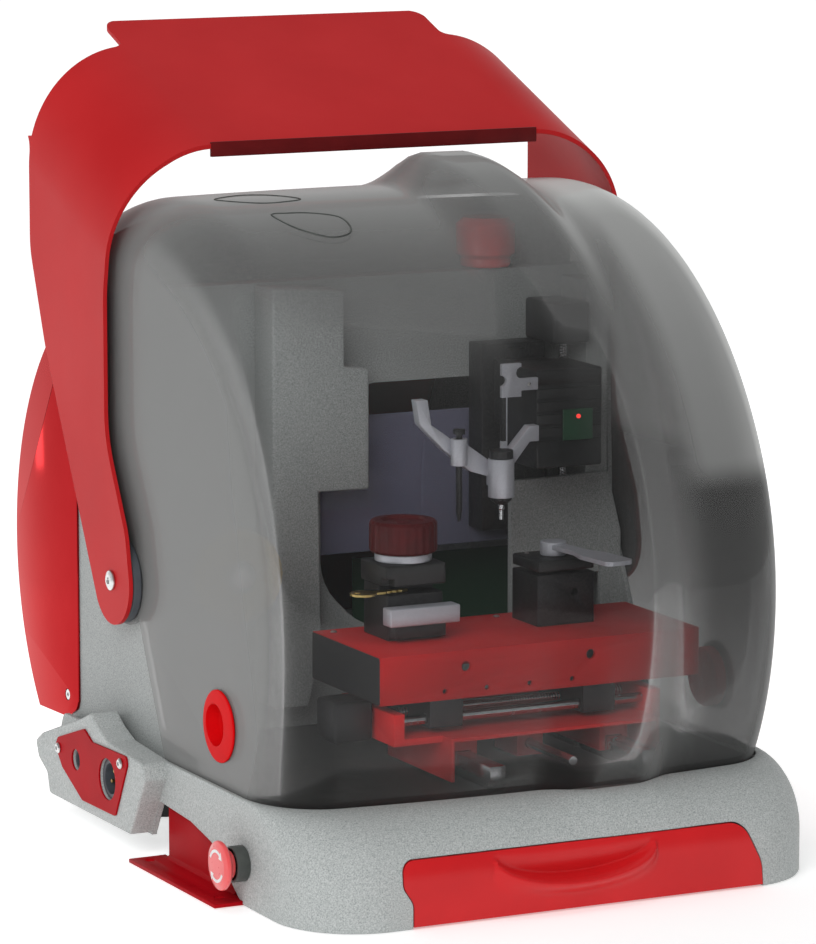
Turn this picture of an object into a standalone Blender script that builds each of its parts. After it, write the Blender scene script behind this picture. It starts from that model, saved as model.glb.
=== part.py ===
"""A bench-top key duplicating machine: plinth with drawer, tilting smoked hood, carry handle, two key
clamps on a cross table, and a cutting head. Metres, +Z up, front towards -Y. The origin is on the
bench, under the middle of the whole machine."""

import math

import bmesh
import bpy
from mathutils import Vector

# ---------------------------------------------------------------- driving dimensions
HALF_WIDTH = 0.2565          # over the foot rails, the widest pieces
GAP = 0.0003                 # air between pieces that touch
PIVOT_Y = 0.070              # shared axis of hood, handle and drum-shaped rear
PIVOT_Z = 0.222

# plinth
SKIRT_HALF = 0.2325
SKIRT_FRONT = -0.300
SKIRT_REAR = 0.206
SKIRT_CORNER = 0.070
LEDGE_HALF = 0.2310
RIM_Z = 0.0850
DECK_TOP = 0.0805
DECK_BOTTOM = 0.0765
SHOULDER_Z = 0.036
WALL = 0.004

# hood
HOOD_HALF = 0.2265
HOOD_SKIN = 0.003
HOOD_Y = 0.052
HOOD_Z = 0.218
HOOD_RADIUS = 0.3225
HOOD_CROWN = 0.35            # radius lost per metre of half-width squared, at the front
HOOD_EDGE = 0.050            # rounding between barrel and flat sides, at the front
TOP_DROP = 0.0015            # the top of the barrel is a little lower, flatter, and rounder at its edges
TOP_CROWN = 0.05
TOP_EDGE = 0.055
TOP_CREST_SHIFT = 0.010
HOOD_BOTTOM = 0.0812
HOOD_REAR_Y = 0.160
CREST_X = 0.055
CREST_HALF = 0.062
CUP_Y = -0.118
CUP_Z = 0.134

# drum-shaped rear
DRUM_Y = 0.0800              # the drum's own axis, a little behind the pivots
DRUM_RADIUS = 0.2390
DRUM_HALF = 0.2205
BULKHEAD_Y = 0.078
COVER_RADIUS = 0.2420
COVER_HALF = 0.2228
COVER_FRONT_Y = 0.1853
COVER_SCREW_YZ = (0.209, 0.098)

# handle
ARM_OUT = 0.2400
ARM_IN = 0.2365
STRAP_SLOPE = math.radians(21.0)
STRAP_FRONT_Y = 0.062
STRAP_FRONT_Z = 0.580
STRAP_BEND = 0.092
TAB_HALF = 0.152

# drawer
DRAWER_LEFT = -0.1535
DRAWER_RIGHT = 0.1685
DRAWER_TOP = 0.0540
DRAWER_BOTTOM = 0.0015

# side pods and foot rails
POD_FACE = 0.2520
POD_OUTLINE = [(0.0085, 0.0205), (0.182, 0.020), (0.187, 0.037), (0.206, 0.047), (0.212, 0.061), (0.197, 0.070),
               (0.109, 0.0995), (0.0905, 0.107), (0.073, 0.097), (0.052, 0.0895), (-0.018, 0.0850),
               (-0.0225, 0.0720)]
PLATE_OUTLINE = [(0.100, 0.092), (0.083, 0.084), (0.011, 0.086), (0.009, 0.079), (0.035, 0.031),
                 (0.105, 0.030), (0.148, 0.050), (0.163, 0.066), (0.157, 0.074)]
INLET_YZ = (0.051, 0.059)
SOCKET_YZ = (0.118, 0.062)
RAIL_FRONT = -0.171
RAIL_REAR = 0.000
ESTOP_Y = -0.174
ESTOP_Z = 0.035

# cross table and clamps
TRAY_TOP = 0.1185
TRAY_LEFT = -0.0520
TRAY_RIGHT = 0.1390
RAIL_X = (-0.026, 0.113)
Y_SCREW_X = 0.046
SCREW_Z = 0.130
TABLE_TOP = 0.187
TABLE_LEFT = -0.108
TABLE_RIGHT = 0.184
TABLE_FRONT = -0.1655
VISE_X = -0.048
CLAMP_X = 0.0905
CLAMP_Y = -0.0855
LEVER_REST = -84              # degrees from +X

# cutting head
TOOL_X = 0.054
TOOL_Y = -0.0620
TRACER_X = 0.018
TRACER_Y = -0.0560
Z_SCREW_X = 0.166
Z_SCREW_Y = 0.040

LAMP_X = 0.1200
LAMP_Y = 0.095
BRUSH_X = -0.157
BRUSH_Z = 0.230


# ---------------------------------------------------------------- helpers
def clear_scene():
    for old in list(bpy.data.objects):
        bpy.data.objects.remove(old, do_unlink=True)


def material(name, colour, roughness, metallic=0.0, alpha=1.0):
    made = bpy.data.materials.get(name) or bpy.data.materials.new(name)
    made.use_nodes = True
    shader = made.node_tree.nodes["Principled BSDF"]
    shader.inputs["Base Color"].default_value = (*colour, 1.0)
    shader.inputs["Roughness"].default_value = roughness
    shader.inputs["Metallic"].default_value = metallic
    shader.inputs["Alpha"].default_value = alpha
    return made


def place(axis, along, first, second):
    """A point from its distance along an axis and its other two coordinates, in X, Y, Z order."""
    return {"X": (along, first, second), "Y": (first, along, second), "Z": (first, second, along)}[axis]


def loft(rings):
    """A closed body through rings with the same number of points."""
    bm = bmesh.new()
    rows = [[bm.verts.new(point) for point in ring] for ring in rings]
    count = len(rows[0])
    for low, high in zip(rows, rows[1:]):
        for i in range(count):
            j = (i + 1) % count
            bm.faces.new((low[i], low[j], high[j], high[i]))
    bm.faces.new(rows[0])
    bm.faces.new(rows[-1])
    bmesh.ops.recalc_face_normals(bm, faces=bm.faces)
    return bm


def prism(outline, axis, low, high):
    """A flat outline pushed along an axis."""
    return loft([[place(axis, along, a, b) for a, b in outline] for along in (low, high)])


def box(low, high):
    corners = [(low[0], low[1]), (high[0], low[1]), (high[0], high[1]), (low[0], high[1])]
    return prism(corners, "Z", low[2], high[2])


def turned(profile, axis, centre, steps=20, ring=False):
    """A profile of (radius, distance along the axis) spun about it. A ring's profile closes on itself."""
    bm = bmesh.new()
    rows = []
    for radius, along in profile:
        count = 1 if radius < 1e-6 else steps
        row = []
        for i in range(count):
            angle = 2 * math.pi * i / steps
            a = centre[0] + radius * math.cos(angle)
            b = centre[1] + radius * math.sin(angle)
            row.append(bm.verts.new(place(axis, along, a, b)))
        rows.append(row)
    pairs = list(zip(rows, rows[1:])) + ([(rows[-1], rows[0])] if ring else [])
    for low, high in pairs:
        for i in range(steps):
            j = (i + 1) % steps
            corners = [low[i % len(low)], low[j % len(low)], high[j % len(high)], high[i % len(high)]]
            bm.faces.new(list(dict.fromkeys(corners)))
    bmesh.ops.recalc_face_normals(bm, faces=bm.faces)
    return bm


def rod(axis, centre, radius, low, high, steps=12):
    return turned([(0, low), (radius, low), (radius, high), (0, high)], axis, centre, steps)


def rounded(points, radius, steps=4, corners=None):
    """The outline with its corners turned into arcs; corners picks some of them by number."""
    result = []
    count = len(points)
    for i, point in enumerate(points):
        here = Vector(point)
        before = (Vector(points[i - 1]) - here)
        after = (Vector(points[(i + 1) % count]) - here)
        if corners is not None and i not in corners:
            result.append(tuple(here))
            continue
        half = before.angle(after) / 2
        size = radius[i] if isinstance(radius, dict) else radius
        reach = min(size / math.tan(half), 0.49 * before.length, 0.49 * after.length)
        fitted = reach * math.tan(half)
        start = here + before.normalized() * reach
        end = here + after.normalized() * reach
        middle = here + (before.normalized() + after.normalized()).normalized() * fitted / math.sin(half)
        for k in range(steps + 1):
            t = k / steps
            arm = (start - middle).lerp(end - middle, t).normalized() * fitted
            result.append(tuple(middle + arm))
    return result


def circle(centre, radius, steps):
    return [(centre[0] + radius * math.cos(2 * math.pi * i / steps),
             centre[1] + radius * math.sin(2 * math.pi * i / steps)) for i in range(steps)]


def node(name, bm, finish, origin=(0, 0, 0), smooth=False):
    mesh = bpy.data.meshes.new(name)
    bm.to_mesh(mesh)
    bm.free()
    obj = bpy.data.objects.new(name, mesh)
    bpy.context.scene.collection.objects.link(obj)
    mesh.materials.append(FINISHES[finish])
    if smooth:
        mesh.shade_smooth()
        mesh.set_sharp_from_angle(angle=math.radians(35))
    set_origin(obj, origin)
    return obj


def set_origin(obj, origin):
    shift = Vector(origin) - obj.location
    for vertex in obj.data.vertices:
        vertex.co -= shift
    obj.location = origin


def combine(obj, bm, operation):
    """Cuts the shape from the object, or joins it, and keeps the result as the object's mesh."""
    mesh = bpy.data.meshes.new("operand")
    bm.to_mesh(mesh)
    bm.free()
    operand = bpy.data.objects.new("operand", mesh)
    bpy.context.scene.collection.objects.link(operand)
    modifier = obj.modifiers.new("Shape", "BOOLEAN")
    modifier.operation = operation
    modifier.solver = "EXACT"
    modifier.object = operand
    graph = bpy.context.evaluated_depsgraph_get()
    result = bpy.data.meshes.new_from_object(obj.evaluated_get(graph))
    obj.modifiers.clear()
    obj.data = result
    bpy.data.objects.remove(operand, do_unlink=True)


def cut(obj, *shapes):
    for bm in shapes:
        combine(obj, bm, "DIFFERENCE")


def fuse(obj, *shapes):
    for bm in shapes:
        combine(obj, bm, "UNION")


def keep(obj, bm):
    combine(obj, bm, "INTERSECT")


def smooth_step(t):
    t = min(max(t, 0.0), 1.0)
    return t * t * (3 - 2 * t)


def arc(centre, radius, first, last, steps):
    """Points on a circle in the Y-Z plane; the angle runs from the front, up and over to the rear."""
    points = []
    for i in range(steps + 1):
        angle = math.radians(first + (last - first) * i / steps)
        points.append((centre[0] - radius * math.cos(angle), centre[1] + radius * math.sin(angle)))
    return points


FINISHES = {}


def make_finishes():
    FINISHES.update({
        "speckled_grey": material("speckled_grey", (0.40, 0.42, 0.41), 0.55),
        "smoked_clear": material("smoked_clear", (0.20, 0.21, 0.21), 0.08, alpha=0.45),
        "handle_red": material("handle_red", (0.47, 0.06, 0.06), 0.35, 0.2),
        "gloss_red": material("gloss_red", (0.60, 0.02, 0.025), 0.12),
        "sheet_red": material("sheet_red", (0.55, 0.015, 0.02), 0.35, 0.2),
        "button_red": material("button_red", (0.80, 0.12, 0.13), 0.30),
        "dark_blue_grey": material("dark_blue_grey", (0.045, 0.055, 0.07), 0.45),
        "black_plastic": material("black_plastic", (0.02, 0.021, 0.022), 0.45),
        "dark_steel": material("dark_steel", (0.06, 0.06, 0.062), 0.40, 0.6),
        "steel": material("steel", (0.62, 0.63, 0.65), 0.25, 1.0),
        "aluminium": material("aluminium", (0.72, 0.73, 0.76), 0.35, 0.8),
        "brass": material("brass", (0.72, 0.55, 0.22), 0.30, 1.0),
        "knob_red": material("knob_red", (0.16, 0.008, 0.010), 0.35),
        "guard_tint": material("guard_tint", (0.22, 0.20, 0.28), 0.15, alpha=0.5),
        "circuit_green": material("circuit_green", (0.02, 0.16, 0.06), 0.45),
        "rubber": material("rubber", (0.02, 0.02, 0.02), 0.80),
        "zinc": material("zinc", (0.75, 0.76, 0.76), 0.30, 0.9),
    })


# ---------------------------------------------------------------- hood geometry
def crest_height(angle):
    """Height of the raised channel over the barrel, by the angle up from the front, in degrees."""
    if angle < 28:
        rise = 0.0095 + 0.0055 * (28 - angle) / 52
    else:
        rise = 0.0095 + 0.0157 * ((angle - 28) / 62) ** 1.3
    return rise * (1 - smooth_step((angle - 92) / 14))


def topness(angle):
    """0 at the front of the hood and 1 from its top to its rear edge."""
    return smooth_step((angle - 30) / 60)


def crest_share(x, angle):
    centre = CREST_X + TOP_CREST_SHIFT * topness(angle)
    return 1 - smooth_step((abs(x - centre) / CREST_HALF - 0.30) / 0.70)


def hood_radius(x, angle, inset):
    """Radius of the hood about its own centre; inset takes the skin off."""
    top = topness(angle)
    crown = HOOD_CROWN + (TOP_CROWN - HOOD_CROWN) * top
    rounding = HOOD_EDGE + (TOP_EDGE - HOOD_EDGE) * top
    radius = HOOD_RADIUS - TOP_DROP * top - crown * x * x + crest_share(x, angle) * crest_height(angle)
    over = min(abs(x) - (HOOD_HALF - rounding), rounding - inset)
    if over > 0:
        tight = rounding - inset
        radius -= tight - math.sqrt(max(tight ** 2 - over ** 2, 0.0))
    return radius - inset


def hood_point(x, angle, inset=0.0):
    radius = hood_radius(x, angle, inset)
    turn = math.radians(angle)
    return (x, HOOD_Y - radius * math.cos(turn), HOOD_Z + radius * math.sin(turn))


def hood_angle_at_height(x, z, inset=0.0):
    angle = -20.0
    for _ in range(6):
        angle = -math.degrees(math.asin((HOOD_Z - z) / hood_radius(x, angle, inset)))
    return angle


def hood_angle_at_rear(x, y, inset=0.0):
    angle = 110.0
    for _ in range(8):
        angle = math.degrees(math.acos(-(y - HOOD_Y) / hood_radius(x, angle, inset)))
    return angle


def hood_stations(half):
    """Distances across the hood: close together on the rounded edges and on the crest's flanks."""
    flat = HOOD_HALF - HOOD_EDGE
    reach = half - flat
    edge = [flat + reach * math.sin(math.radians(a)) for a in (0, 20, 38, 55, 72, 90)]
    middle = [-0.11, -0.05, -0.010, 0.006, 0.018, 0.030, 0.043, 0.060, 0.076, 0.090, 0.102, 0.114, 0.128]
    return sorted([-x for x in edge] + middle + edge)


def hood_ring(x, inset, closing, first_z, last_y, steps=20):
    """One slice of the hood: its arc from the front rim to the rear edge, then the closing points."""
    start = hood_angle_at_height(x, first_z, inset)
    end = hood_angle_at_rear(x, last_y, inset)
    ring = [hood_point(x, start + (end - start) * i / steps, inset) for i in range(steps + 1)]
    return ring + [(x, y, z) for y, z in closing]


def make_hood():
    """Barrel-shaped shell with flat sides, pierced for the pivots and the finger cups."""
    around_pivot = [(PIVOT_Y + 0.038 * math.cos(math.radians(a)), PIVOT_Z - 0.038 * math.sin(math.radians(a)))
                    for a in (-20, 20, 60, 100, 130)]
    edge = around_pivot + [(-0.008, HOOD_BOTTOM)]
    outer = [hood_ring(x, 0.0, edge, HOOD_BOTTOM, HOOD_REAR_Y) for x in hood_stations(HOOD_HALF)]
    hood = node("hood_shell", loft(outer), "smoked_clear", smooth=True)
    past = [(0.26, 0.30), (0.20, 0.05), (0.00, 0.03)]
    inner = [hood_ring(x, HOOD_SKIN, past, 0.060, HOOD_REAR_Y + 0.02)
             for x in hood_stations(HOOD_HALF - HOOD_SKIN)]
    cut(hood, loft(inner))
    for side in (-1, 1):
        near, far = sorted((side * 0.20, side * 0.24))
        cut(hood, rod("X", (PIVOT_Y, PIVOT_Z), 0.016, near, far, 16))
        cut(hood, rod("X", (CUP_Y, CUP_Z), 0.0252, near, far, 20))
    set_origin(hood, (0, PIVOT_Y, PIVOT_Z))


def make_finger_cup(name, side):
    """Flanged cup that snaps into the hood's side, with an off-centre pocket for a fingertip."""
    flange, face, floor, back = [side * x for x in (HOOD_HALF + GAP, 0.2290, 0.2170, 0.2145)]
    cup = node(name, turned([(0, back), (0.0249, back), (0.0249, flange), (0.0295, flange),
                             (0.0290, face), (0, face)], "X", (CUP_Y, CUP_Z), 20), "gloss_red", smooth=True)
    near, far = sorted((floor, side * 0.2400))
    cut(cup, rod("X", (CUP_Y + 0.006, CUP_Z), 0.0170, near, far, 16))
    set_origin(cup, (0, PIVOT_Y, PIVOT_Z))


# ---------------------------------------------------------------- plinth
def rim_front(x):
    """Front of the hood's rim across the machine."""
    return hood_point(x, hood_angle_at_height(x, RIM_Z))[1]


def rim_outline(grow):
    """The hood's footprint, from the left rear round the front to the right rear, grown by an even margin."""
    stations = hood_stations(HOOD_HALF)
    front = [(x * (HOOD_HALF + grow) / HOOD_HALF, rim_front(x) - grow) for x in stations]
    sides = [0.14, 0.06, -0.02, -0.10]
    half = HOOD_HALF + grow
    rear = SKIRT_REAR - 0.012
    left = [(-half, rear)] + [(-half, y) for y in sides]
    return left + front + [(-x, y) for x, y in reversed(left)]


def skirt_outline(inset=0.0):
    """The plinth's plan, with a point for each point of the rim's outline."""
    stations = hood_stations(HOOD_HALF)
    half = SKIRT_HALF - inset
    front_y = SKIRT_FRONT + inset
    radius = SKIRT_CORNER - inset
    flat = half - radius
    front = []
    for x in stations:
        across = x * half / HOOD_HALF
        over = max(abs(across) - flat, 0.0)
        y = front_y + radius - math.sqrt(max(radius ** 2 - over ** 2, 0.0))
        front.append((across, y))
    sides = [0.14, 0.06, -0.02, -0.10]
    rear = SKIRT_REAR - inset
    left = [(-half, rear)] + [(-half, y) for y in sides]
    return left + front + [(-x, y) for x, y in reversed(left)]


def plinth_ring(z, share, inset):
    """A level of the plinth: share 0 is the skirt's plan, 1 is the rim's."""
    low = skirt_outline(inset)
    high = rim_outline(LEDGE_HALF - HOOD_HALF - inset)
    return [(a[0] + (b[0] - a[0]) * share, a[1] + (b[1] - a[1]) * share, z) for a, b in zip(low, high)]


def shoulder_share(z, top):
    """The quarter-round shoulder between skirt and rim."""
    t = min(max((z - SHOULDER_Z) / (top - SHOULDER_Z), 0.0), 1.0)
    return 1 - math.sqrt(1 - t * t)


def make_base_housing():
    """Moulded plinth: skirt with a rounded shoulder, a deck under the hood, side pods and drawer tunnel."""
    levels = [0.0, SHOULDER_Z, 0.050, 0.062, 0.072, 0.079, 0.083, RIM_Z]
    outer = [plinth_ring(z, shoulder_share(z, RIM_Z), 0.0) for z in levels]
    base = node("base_housing", loft(outer), "speckled_grey", smooth=True)
    for side in (-1, 1):
        near, far = sorted((side * 0.2200, side * POD_FACE))
        fuse(base, prism(rounded(POD_OUTLINE, 0.005, 2), "X", near, far))
    hollow = [plinth_ring(z, shoulder_share(z, RIM_Z) if z > 0 else 0.0, 0.0045)
              for z in (-0.01, SHOULDER_Z, 0.050, 0.062, 0.070, DECK_BOTTOM)]
    cut(base, loft(hollow))
    pocket = rim_outline(0.0012)
    pocket[0] = (pocket[0][0], SKIRT_REAR + 0.03)
    pocket[-1] = (pocket[-1][0], SKIRT_REAR + 0.03)
    cut(base, prism(pocket, "Z", DECK_TOP, 0.12))
    notch = [(-0.172, -0.01), (-0.172, 0.0036), (-0.166, 0.0036), (-0.112, 0.0387), (-0.071, 0.0470),
             (-0.010, 0.0505), (0.0075, 0.0205), (0.0075, 0.0190), (0.25, 0.0190), (0.25, -0.01)]
    for side in (-1, 1):
        near, far = sorted((side * 0.2050, side * 0.27))
        cut(base, prism(notch, "X", near, far))
        near, far = sorted((side * 0.2150, side * (POD_FACE - WALL)))
        cut(base, prism([(0.013, 0.0265), (0.172, 0.026), (0.182, 0.040), (0.199, 0.050), (0.203, 0.060),
                         (0.150, 0.0775), (0.005, 0.0775), (-0.010, 0.066)], "X", near, far))
    cut(base, box((-0.2050, 0.1950, -0.01), (0.2050, 0.22, 0.020)))
    cut(base, rod("X", INLET_YZ, 0.0180, -0.26, -0.24, 20))
    cut(base, rod("X", SOCKET_YZ, 0.0092, -0.26, -0.24, 16))
    cut(base, rod("X", (ESTOP_Y, ESTOP_Z), 0.0112, -0.25, -0.22, 16))
    cut(base, prism(drawer_outline(0.0009), "Y", -0.32, -0.27))
    for x in (-0.160, 0.160):
        fuse(base, rod("Z", (x, 0.150), 0.017, 0.0125, 0.078, 12))
    for left, right, web in ((-0.1560, -0.1410, -0.1560), (0.1490, 0.1740, 0.1700)):
        fuse(base, box((left, -0.262, 0.0095), (right, -0.040, 0.0137)))
        fuse(base, box((web, -0.262, 0.0095), (web + 0.004, -0.040, 0.078)))


def make_pod_fittings():
    """Connector plate on the left pod, with the mains inlet and the data socket behind it."""
    shape = prism(rounded(PLATE_OUTLINE, 0.003, 2), "X", -0.2538, -POD_FACE - GAP)
    plate = node("connector_plate", shape, "sheet_red")
    cut(plate, rod("X", INLET_YZ, 0.0175, -0.26, -0.24, 20), rod("X", SOCKET_YZ, 0.0090, -0.26, -0.24, 16))
    for name, centre, radius in (("power_inlet", INLET_YZ, 0.0170), ("data_socket", SOCKET_YZ, 0.0086)):
        wall = radius * 0.25
        profile = [(0, -0.2360), (radius - wall, -0.2360), (radius - wall, -0.2505), (radius, -0.2505),
                   (radius, -0.2200), (0, -0.2200)]
        node(name, turned(profile, "X", centre, 16), "dark_blue_grey", smooth=True)


def make_foot_rail(name, side):
    """Folded steel rail: a foot flange outside, a web, and a flange screwed up under the deck."""
    outline = [(HALF_WIDTH, 0.0), (HALF_WIDTH, 0.003), (0.2295, 0.003), (0.2265, 0.006), (0.2265, 0.0762),
               (0.1950, 0.0762), (0.1950, 0.0732), (0.2235, 0.0732), (0.2235, 0.0035), (0.2265, 0.0)]
    rail = node(name, prism([(side * x, z) for x, z in outline], "Y", RAIL_FRONT, RAIL_REAR), "sheet_red")
    near, far = sorted((side * 0.19, side * 0.2400))
    cut(rail, box((near, RAIL_FRONT - 0.01, 0.0031), (far, -0.148, 0.09)))
    cut(rail, box((near, -0.0135, 0.0031), (far, RAIL_REAR + 0.01, 0.09)))
    for y in (-0.150, -0.012):
        cut(rail, rod("Z", (side * 0.243, y), 0.0045, -0.01, 0.01, 10))
    cut(rail, rod("X", (-0.075, 0.050), 0.0035, *sorted((side * 0.2, side * 0.24)), 10))


def make_rear_feet():
    for name, x in (("rear_foot_left", -0.160), ("rear_foot_right", 0.160)):
        node(name, rod("Z", (x, 0.150), 0.0165, 0.0, 0.0122, 14), "rubber", smooth=True)


def make_estop():
    """Mushroom push button on the left skirt: collar, plunger and twist-release head."""
    where = (ESTOP_Y, ESTOP_Z)
    collar = [(0.0068, -0.2120), (0.0108, -0.2120), (0.0108, -SKIRT_HALF - GAP), (0.0145, -SKIRT_HALF - GAP),
              (0.0145, -0.2440), (0.0126, -0.2440), (0.0126, -0.2380), (0.0068, -0.2380)]
    node("estop_collar", turned(collar, "X", where, 18, ring=True), "black_plastic", smooth=True)
    stem = rod("X", where, 0.0062, -0.2436, -0.2080, 12)
    node("estop_stem", stem, "black_plastic", origin=(-0.2436, *where), smooth=True)
    head = [(0, -0.2440), (0.0115, -0.2440), (0.0115, -0.2485), (0.0185, -0.2510), (0.0200, -0.2530),
            (0.0192, -0.2550), (0.0140, -HALF_WIDTH), (0, -HALF_WIDTH)]
    node("estop_head", turned(head, "X", where, 20), "button_red", origin=(-0.2440, *where), smooth=True)


# ---------------------------------------------------------------- drawer
def drawer_outline(grow):
    """The drawer's face seen from the front: square below, round shoulders above."""
    left, right, top = DRAWER_LEFT - grow, DRAWER_RIGHT + grow, DRAWER_TOP + grow
    low = DRAWER_BOTTOM if grow == 0 else -0.01
    foot = left + 0.0090
    points = [(foot, low), (right, low), (right - 0.0015, 0.020), (right - 0.0190, top), (left, top),
              (left, 0.0335), (foot, 0.0200)]
    return rounded(points, {2: 0.03, 3: 0.018, 4: 0.012, 5: 0.012, 6: 0.012}, 3, corners=(2, 3, 4, 5, 6))


def shoulder_front(z, inset):
    """Front of the plinth at a height, on its middle line."""
    share = shoulder_share(z, RIM_Z)
    rim = rim_front(-0.03) - (LEDGE_HALF - HOOD_HALF)
    return SKIRT_FRONT + (rim - SKIRT_FRONT) * share + inset


def make_drawer():
    """Drawer under the deck: a curved face with a bowed pull, and an open tray."""
    heights = [0.0, 0.020, 0.030, 0.038, 0.044, 0.050, 0.056, 0.060]
    outside = [(shoulder_front(z, 0.0), z) for z in heights]
    inside = [(-0.2860, 0.060), (-0.2860, 0.0)]
    shape = prism(outside + inside, "X", DRAWER_LEFT - 0.01, DRAWER_RIGHT + 0.01)
    face = node("drawer_front", shape, "gloss_red", smooth=True)
    keep(face, prism(drawer_outline(0.0), "Y", -0.32, -0.27))
    cut(face, finger_scoop())
    fuse(face, pull_bar())
    tray = node("drawer_tray", box((-0.1400, -0.2857, 0.0040), (0.1475, -0.090, 0.0440)), "black_plastic")
    cut(tray, box((-0.1375, -0.2832, 0.0065), (0.1450, -0.0925, 0.05)))
    fuse(tray, box((-0.1446, -0.2700, 0.0140), (-0.1395, -0.090, 0.0180)))
    fuse(tray, box((0.1470, -0.2700, 0.0140), (0.1655, -0.090, 0.0180)))


def finger_scoop():
    bm = bmesh.new()
    bmesh.ops.create_uvsphere(bm, u_segments=16, v_segments=8, radius=1.0)
    for vertex in bm.verts:
        x, y, z = vertex.co
        vertex.co = (-0.002 + 0.060 * x, -0.3005 + 0.010 * y, 0.0405 + 0.0125 * z)
    return bm


def pull_bar():
    """Bowed bar under the scoop, proud of the face in the middle."""
    rings = []
    for i in range(13):
        t = i / 6 - 1
        sag = math.sqrt(max(1 - t * t, 0.0))
        x = -0.002 + 0.0725 * t
        z = 0.0485 - 0.0250 * sag
        y = shoulder_front(z, 0.0) + 0.003 - 0.0108 * sag
        slope = Vector((0.0725, 0.0, 0.0250 * t / max(sag, 0.35))).normalized()
        side = Vector((0, 1, 0))
        up = slope.cross(side)
        ring = [Vector((x, y, z)) + side * 0.0042 * math.cos(a) + up * 0.0042 * math.sin(a)
                for a in [2 * math.pi * k / 8 for k in range(8)]]
        rings.append(ring)
    return loft(rings)


# ---------------------------------------------------------------- drum-shaped rear
def make_rear_body():
    """Moulded housing: side cheeks, drum-shaped rear wall, and the bulkhead with the work window."""
    drum = arc((DRUM_Y, PIVOT_Z), DRUM_RADIUS, 85, 215, 22)
    cheek = [(0.206, DECK_TOP + GAP), (-0.030, DECK_TOP + GAP), (0.020, 0.190), (0.050, 0.250)]
    body = node("rear_body", prism(drum + cheek, "X", -DRUM_HALF, DRUM_HALF), "speckled_grey", smooth=True)
    half = DRUM_HALF - WALL
    behind = math.degrees(math.acos((DRUM_Y - BULKHEAD_Y - WALL) / (DRUM_RADIUS - WALL)))
    drum_in = arc((DRUM_Y, PIVOT_Z), DRUM_RADIUS - WALL, behind, 212, 16)
    floor = DECK_TOP + WALL
    cut(body, prism(drum_in + [(0.20, floor), (BULKHEAD_Y + WALL, floor)], "X", -half, half))
    cut(body, prism([(-0.05, 0.07), (BULKHEAD_Y, 0.07), (BULKHEAD_Y, 0.47), (-0.05, 0.47)], "X", -half, half))
    window = [(-0.045, 0.370), (-0.045, 0.200), (-0.005, 0.160), (0.150, 0.160), (0.172, 0.185), (0.172, 0.370)]
    cut(body, prism(rounded(window, 0.05, 4, corners=(0, 1, 2, 3, 4)), "Y", 0.06, 0.10))
    service = [(-0.17, 0.13), (0.17, 0.13), (0.17, 0.36), (-0.17, 0.36)]
    cut(body, prism(rounded(service, 0.02, 3), "Y", 0.22, 0.34))
    wing = [(0.111, 0.285), (0.204, 0.287), (0.217, 0.235), (0.217, 0.110), (0.111, 0.110)]
    fuse(body, prism(wing, "Y", 0.029, 0.035))
    for low, high in ((0.130, 0.150), (0.178, 0.198)):
        arch = [(low, 0.100), (high, 0.100), (high, 0.212), (low, 0.212)]
        cut(body, prism(rounded(arch, 0.010, 3), "Y", 0.02, 0.0365))
    fuse(body, box((0.1845, 0.033, 0.200), (0.2050, 0.0790, 0.452)))
    fuse(body, crown_wall())
    for side in (-1, 1):
        near, far = sorted((side * 0.20, side * 0.23))
        cut(body, rod("X", (PIVOT_Y, PIVOT_Z), 0.0062, near, far, 12))
        cut(body, rod("X", COVER_SCREW_YZ, 0.0024, near, far, 10))
    cut(body, rod("Z", (LAMP_X, LAMP_Y), 0.0060, 0.44, 0.47, 10))
    cut(body, rod("Y", (BRUSH_X, BRUSH_Z), 0.0075, 0.06, 0.10, 12))


def crown_wall():
    """Upright wall on top of the drum that closes the gap up to the hood's path."""
    y = 0.128
    top = []
    for x in hood_stations(DRUM_HALF - 0.003):
        reach = hood_radius(x, 120, HOOD_SKIN) - 0.016
        top.append((x, PIVOT_Z + math.sqrt(reach ** 2 - (y - PIVOT_Y) ** 2)))
    return prism(top + [(top[-1][0], 0.4510), (top[0][0], 0.4510)], "Y", y - 0.004, y)


def make_rear_cover():
    """Glossy curved cover over the drum, with side flanges held by two countersunk screws."""
    skin = arc((DRUM_Y, PIVOT_Z), COVER_RADIUS, 115.8, 217.0, 20)
    flange = [(0.2124, 0.0780), (0.1890, 0.0885), (COVER_FRONT_Y, 0.0960), (COVER_FRONT_Y, 0.4395)]
    cover = node("rear_cover", prism(skin + flange, "X", -COVER_HALF, COVER_HALF), "gloss_red", smooth=True)
    inner = arc((DRUM_Y, PIVOT_Z), DRUM_RADIUS + GAP, 95, 225, 26)
    half = DRUM_HALF + GAP
    cut(cover, prism(inner + [(0.10, 0.04), (0.05, 0.30)], "X", -half, half))
    for side in (-1, 1):
        near, far = sorted((side * 0.21, side * 0.23))
        cut(cover, rod("X", COVER_SCREW_YZ, 0.0051, near, far, 14))


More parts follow.
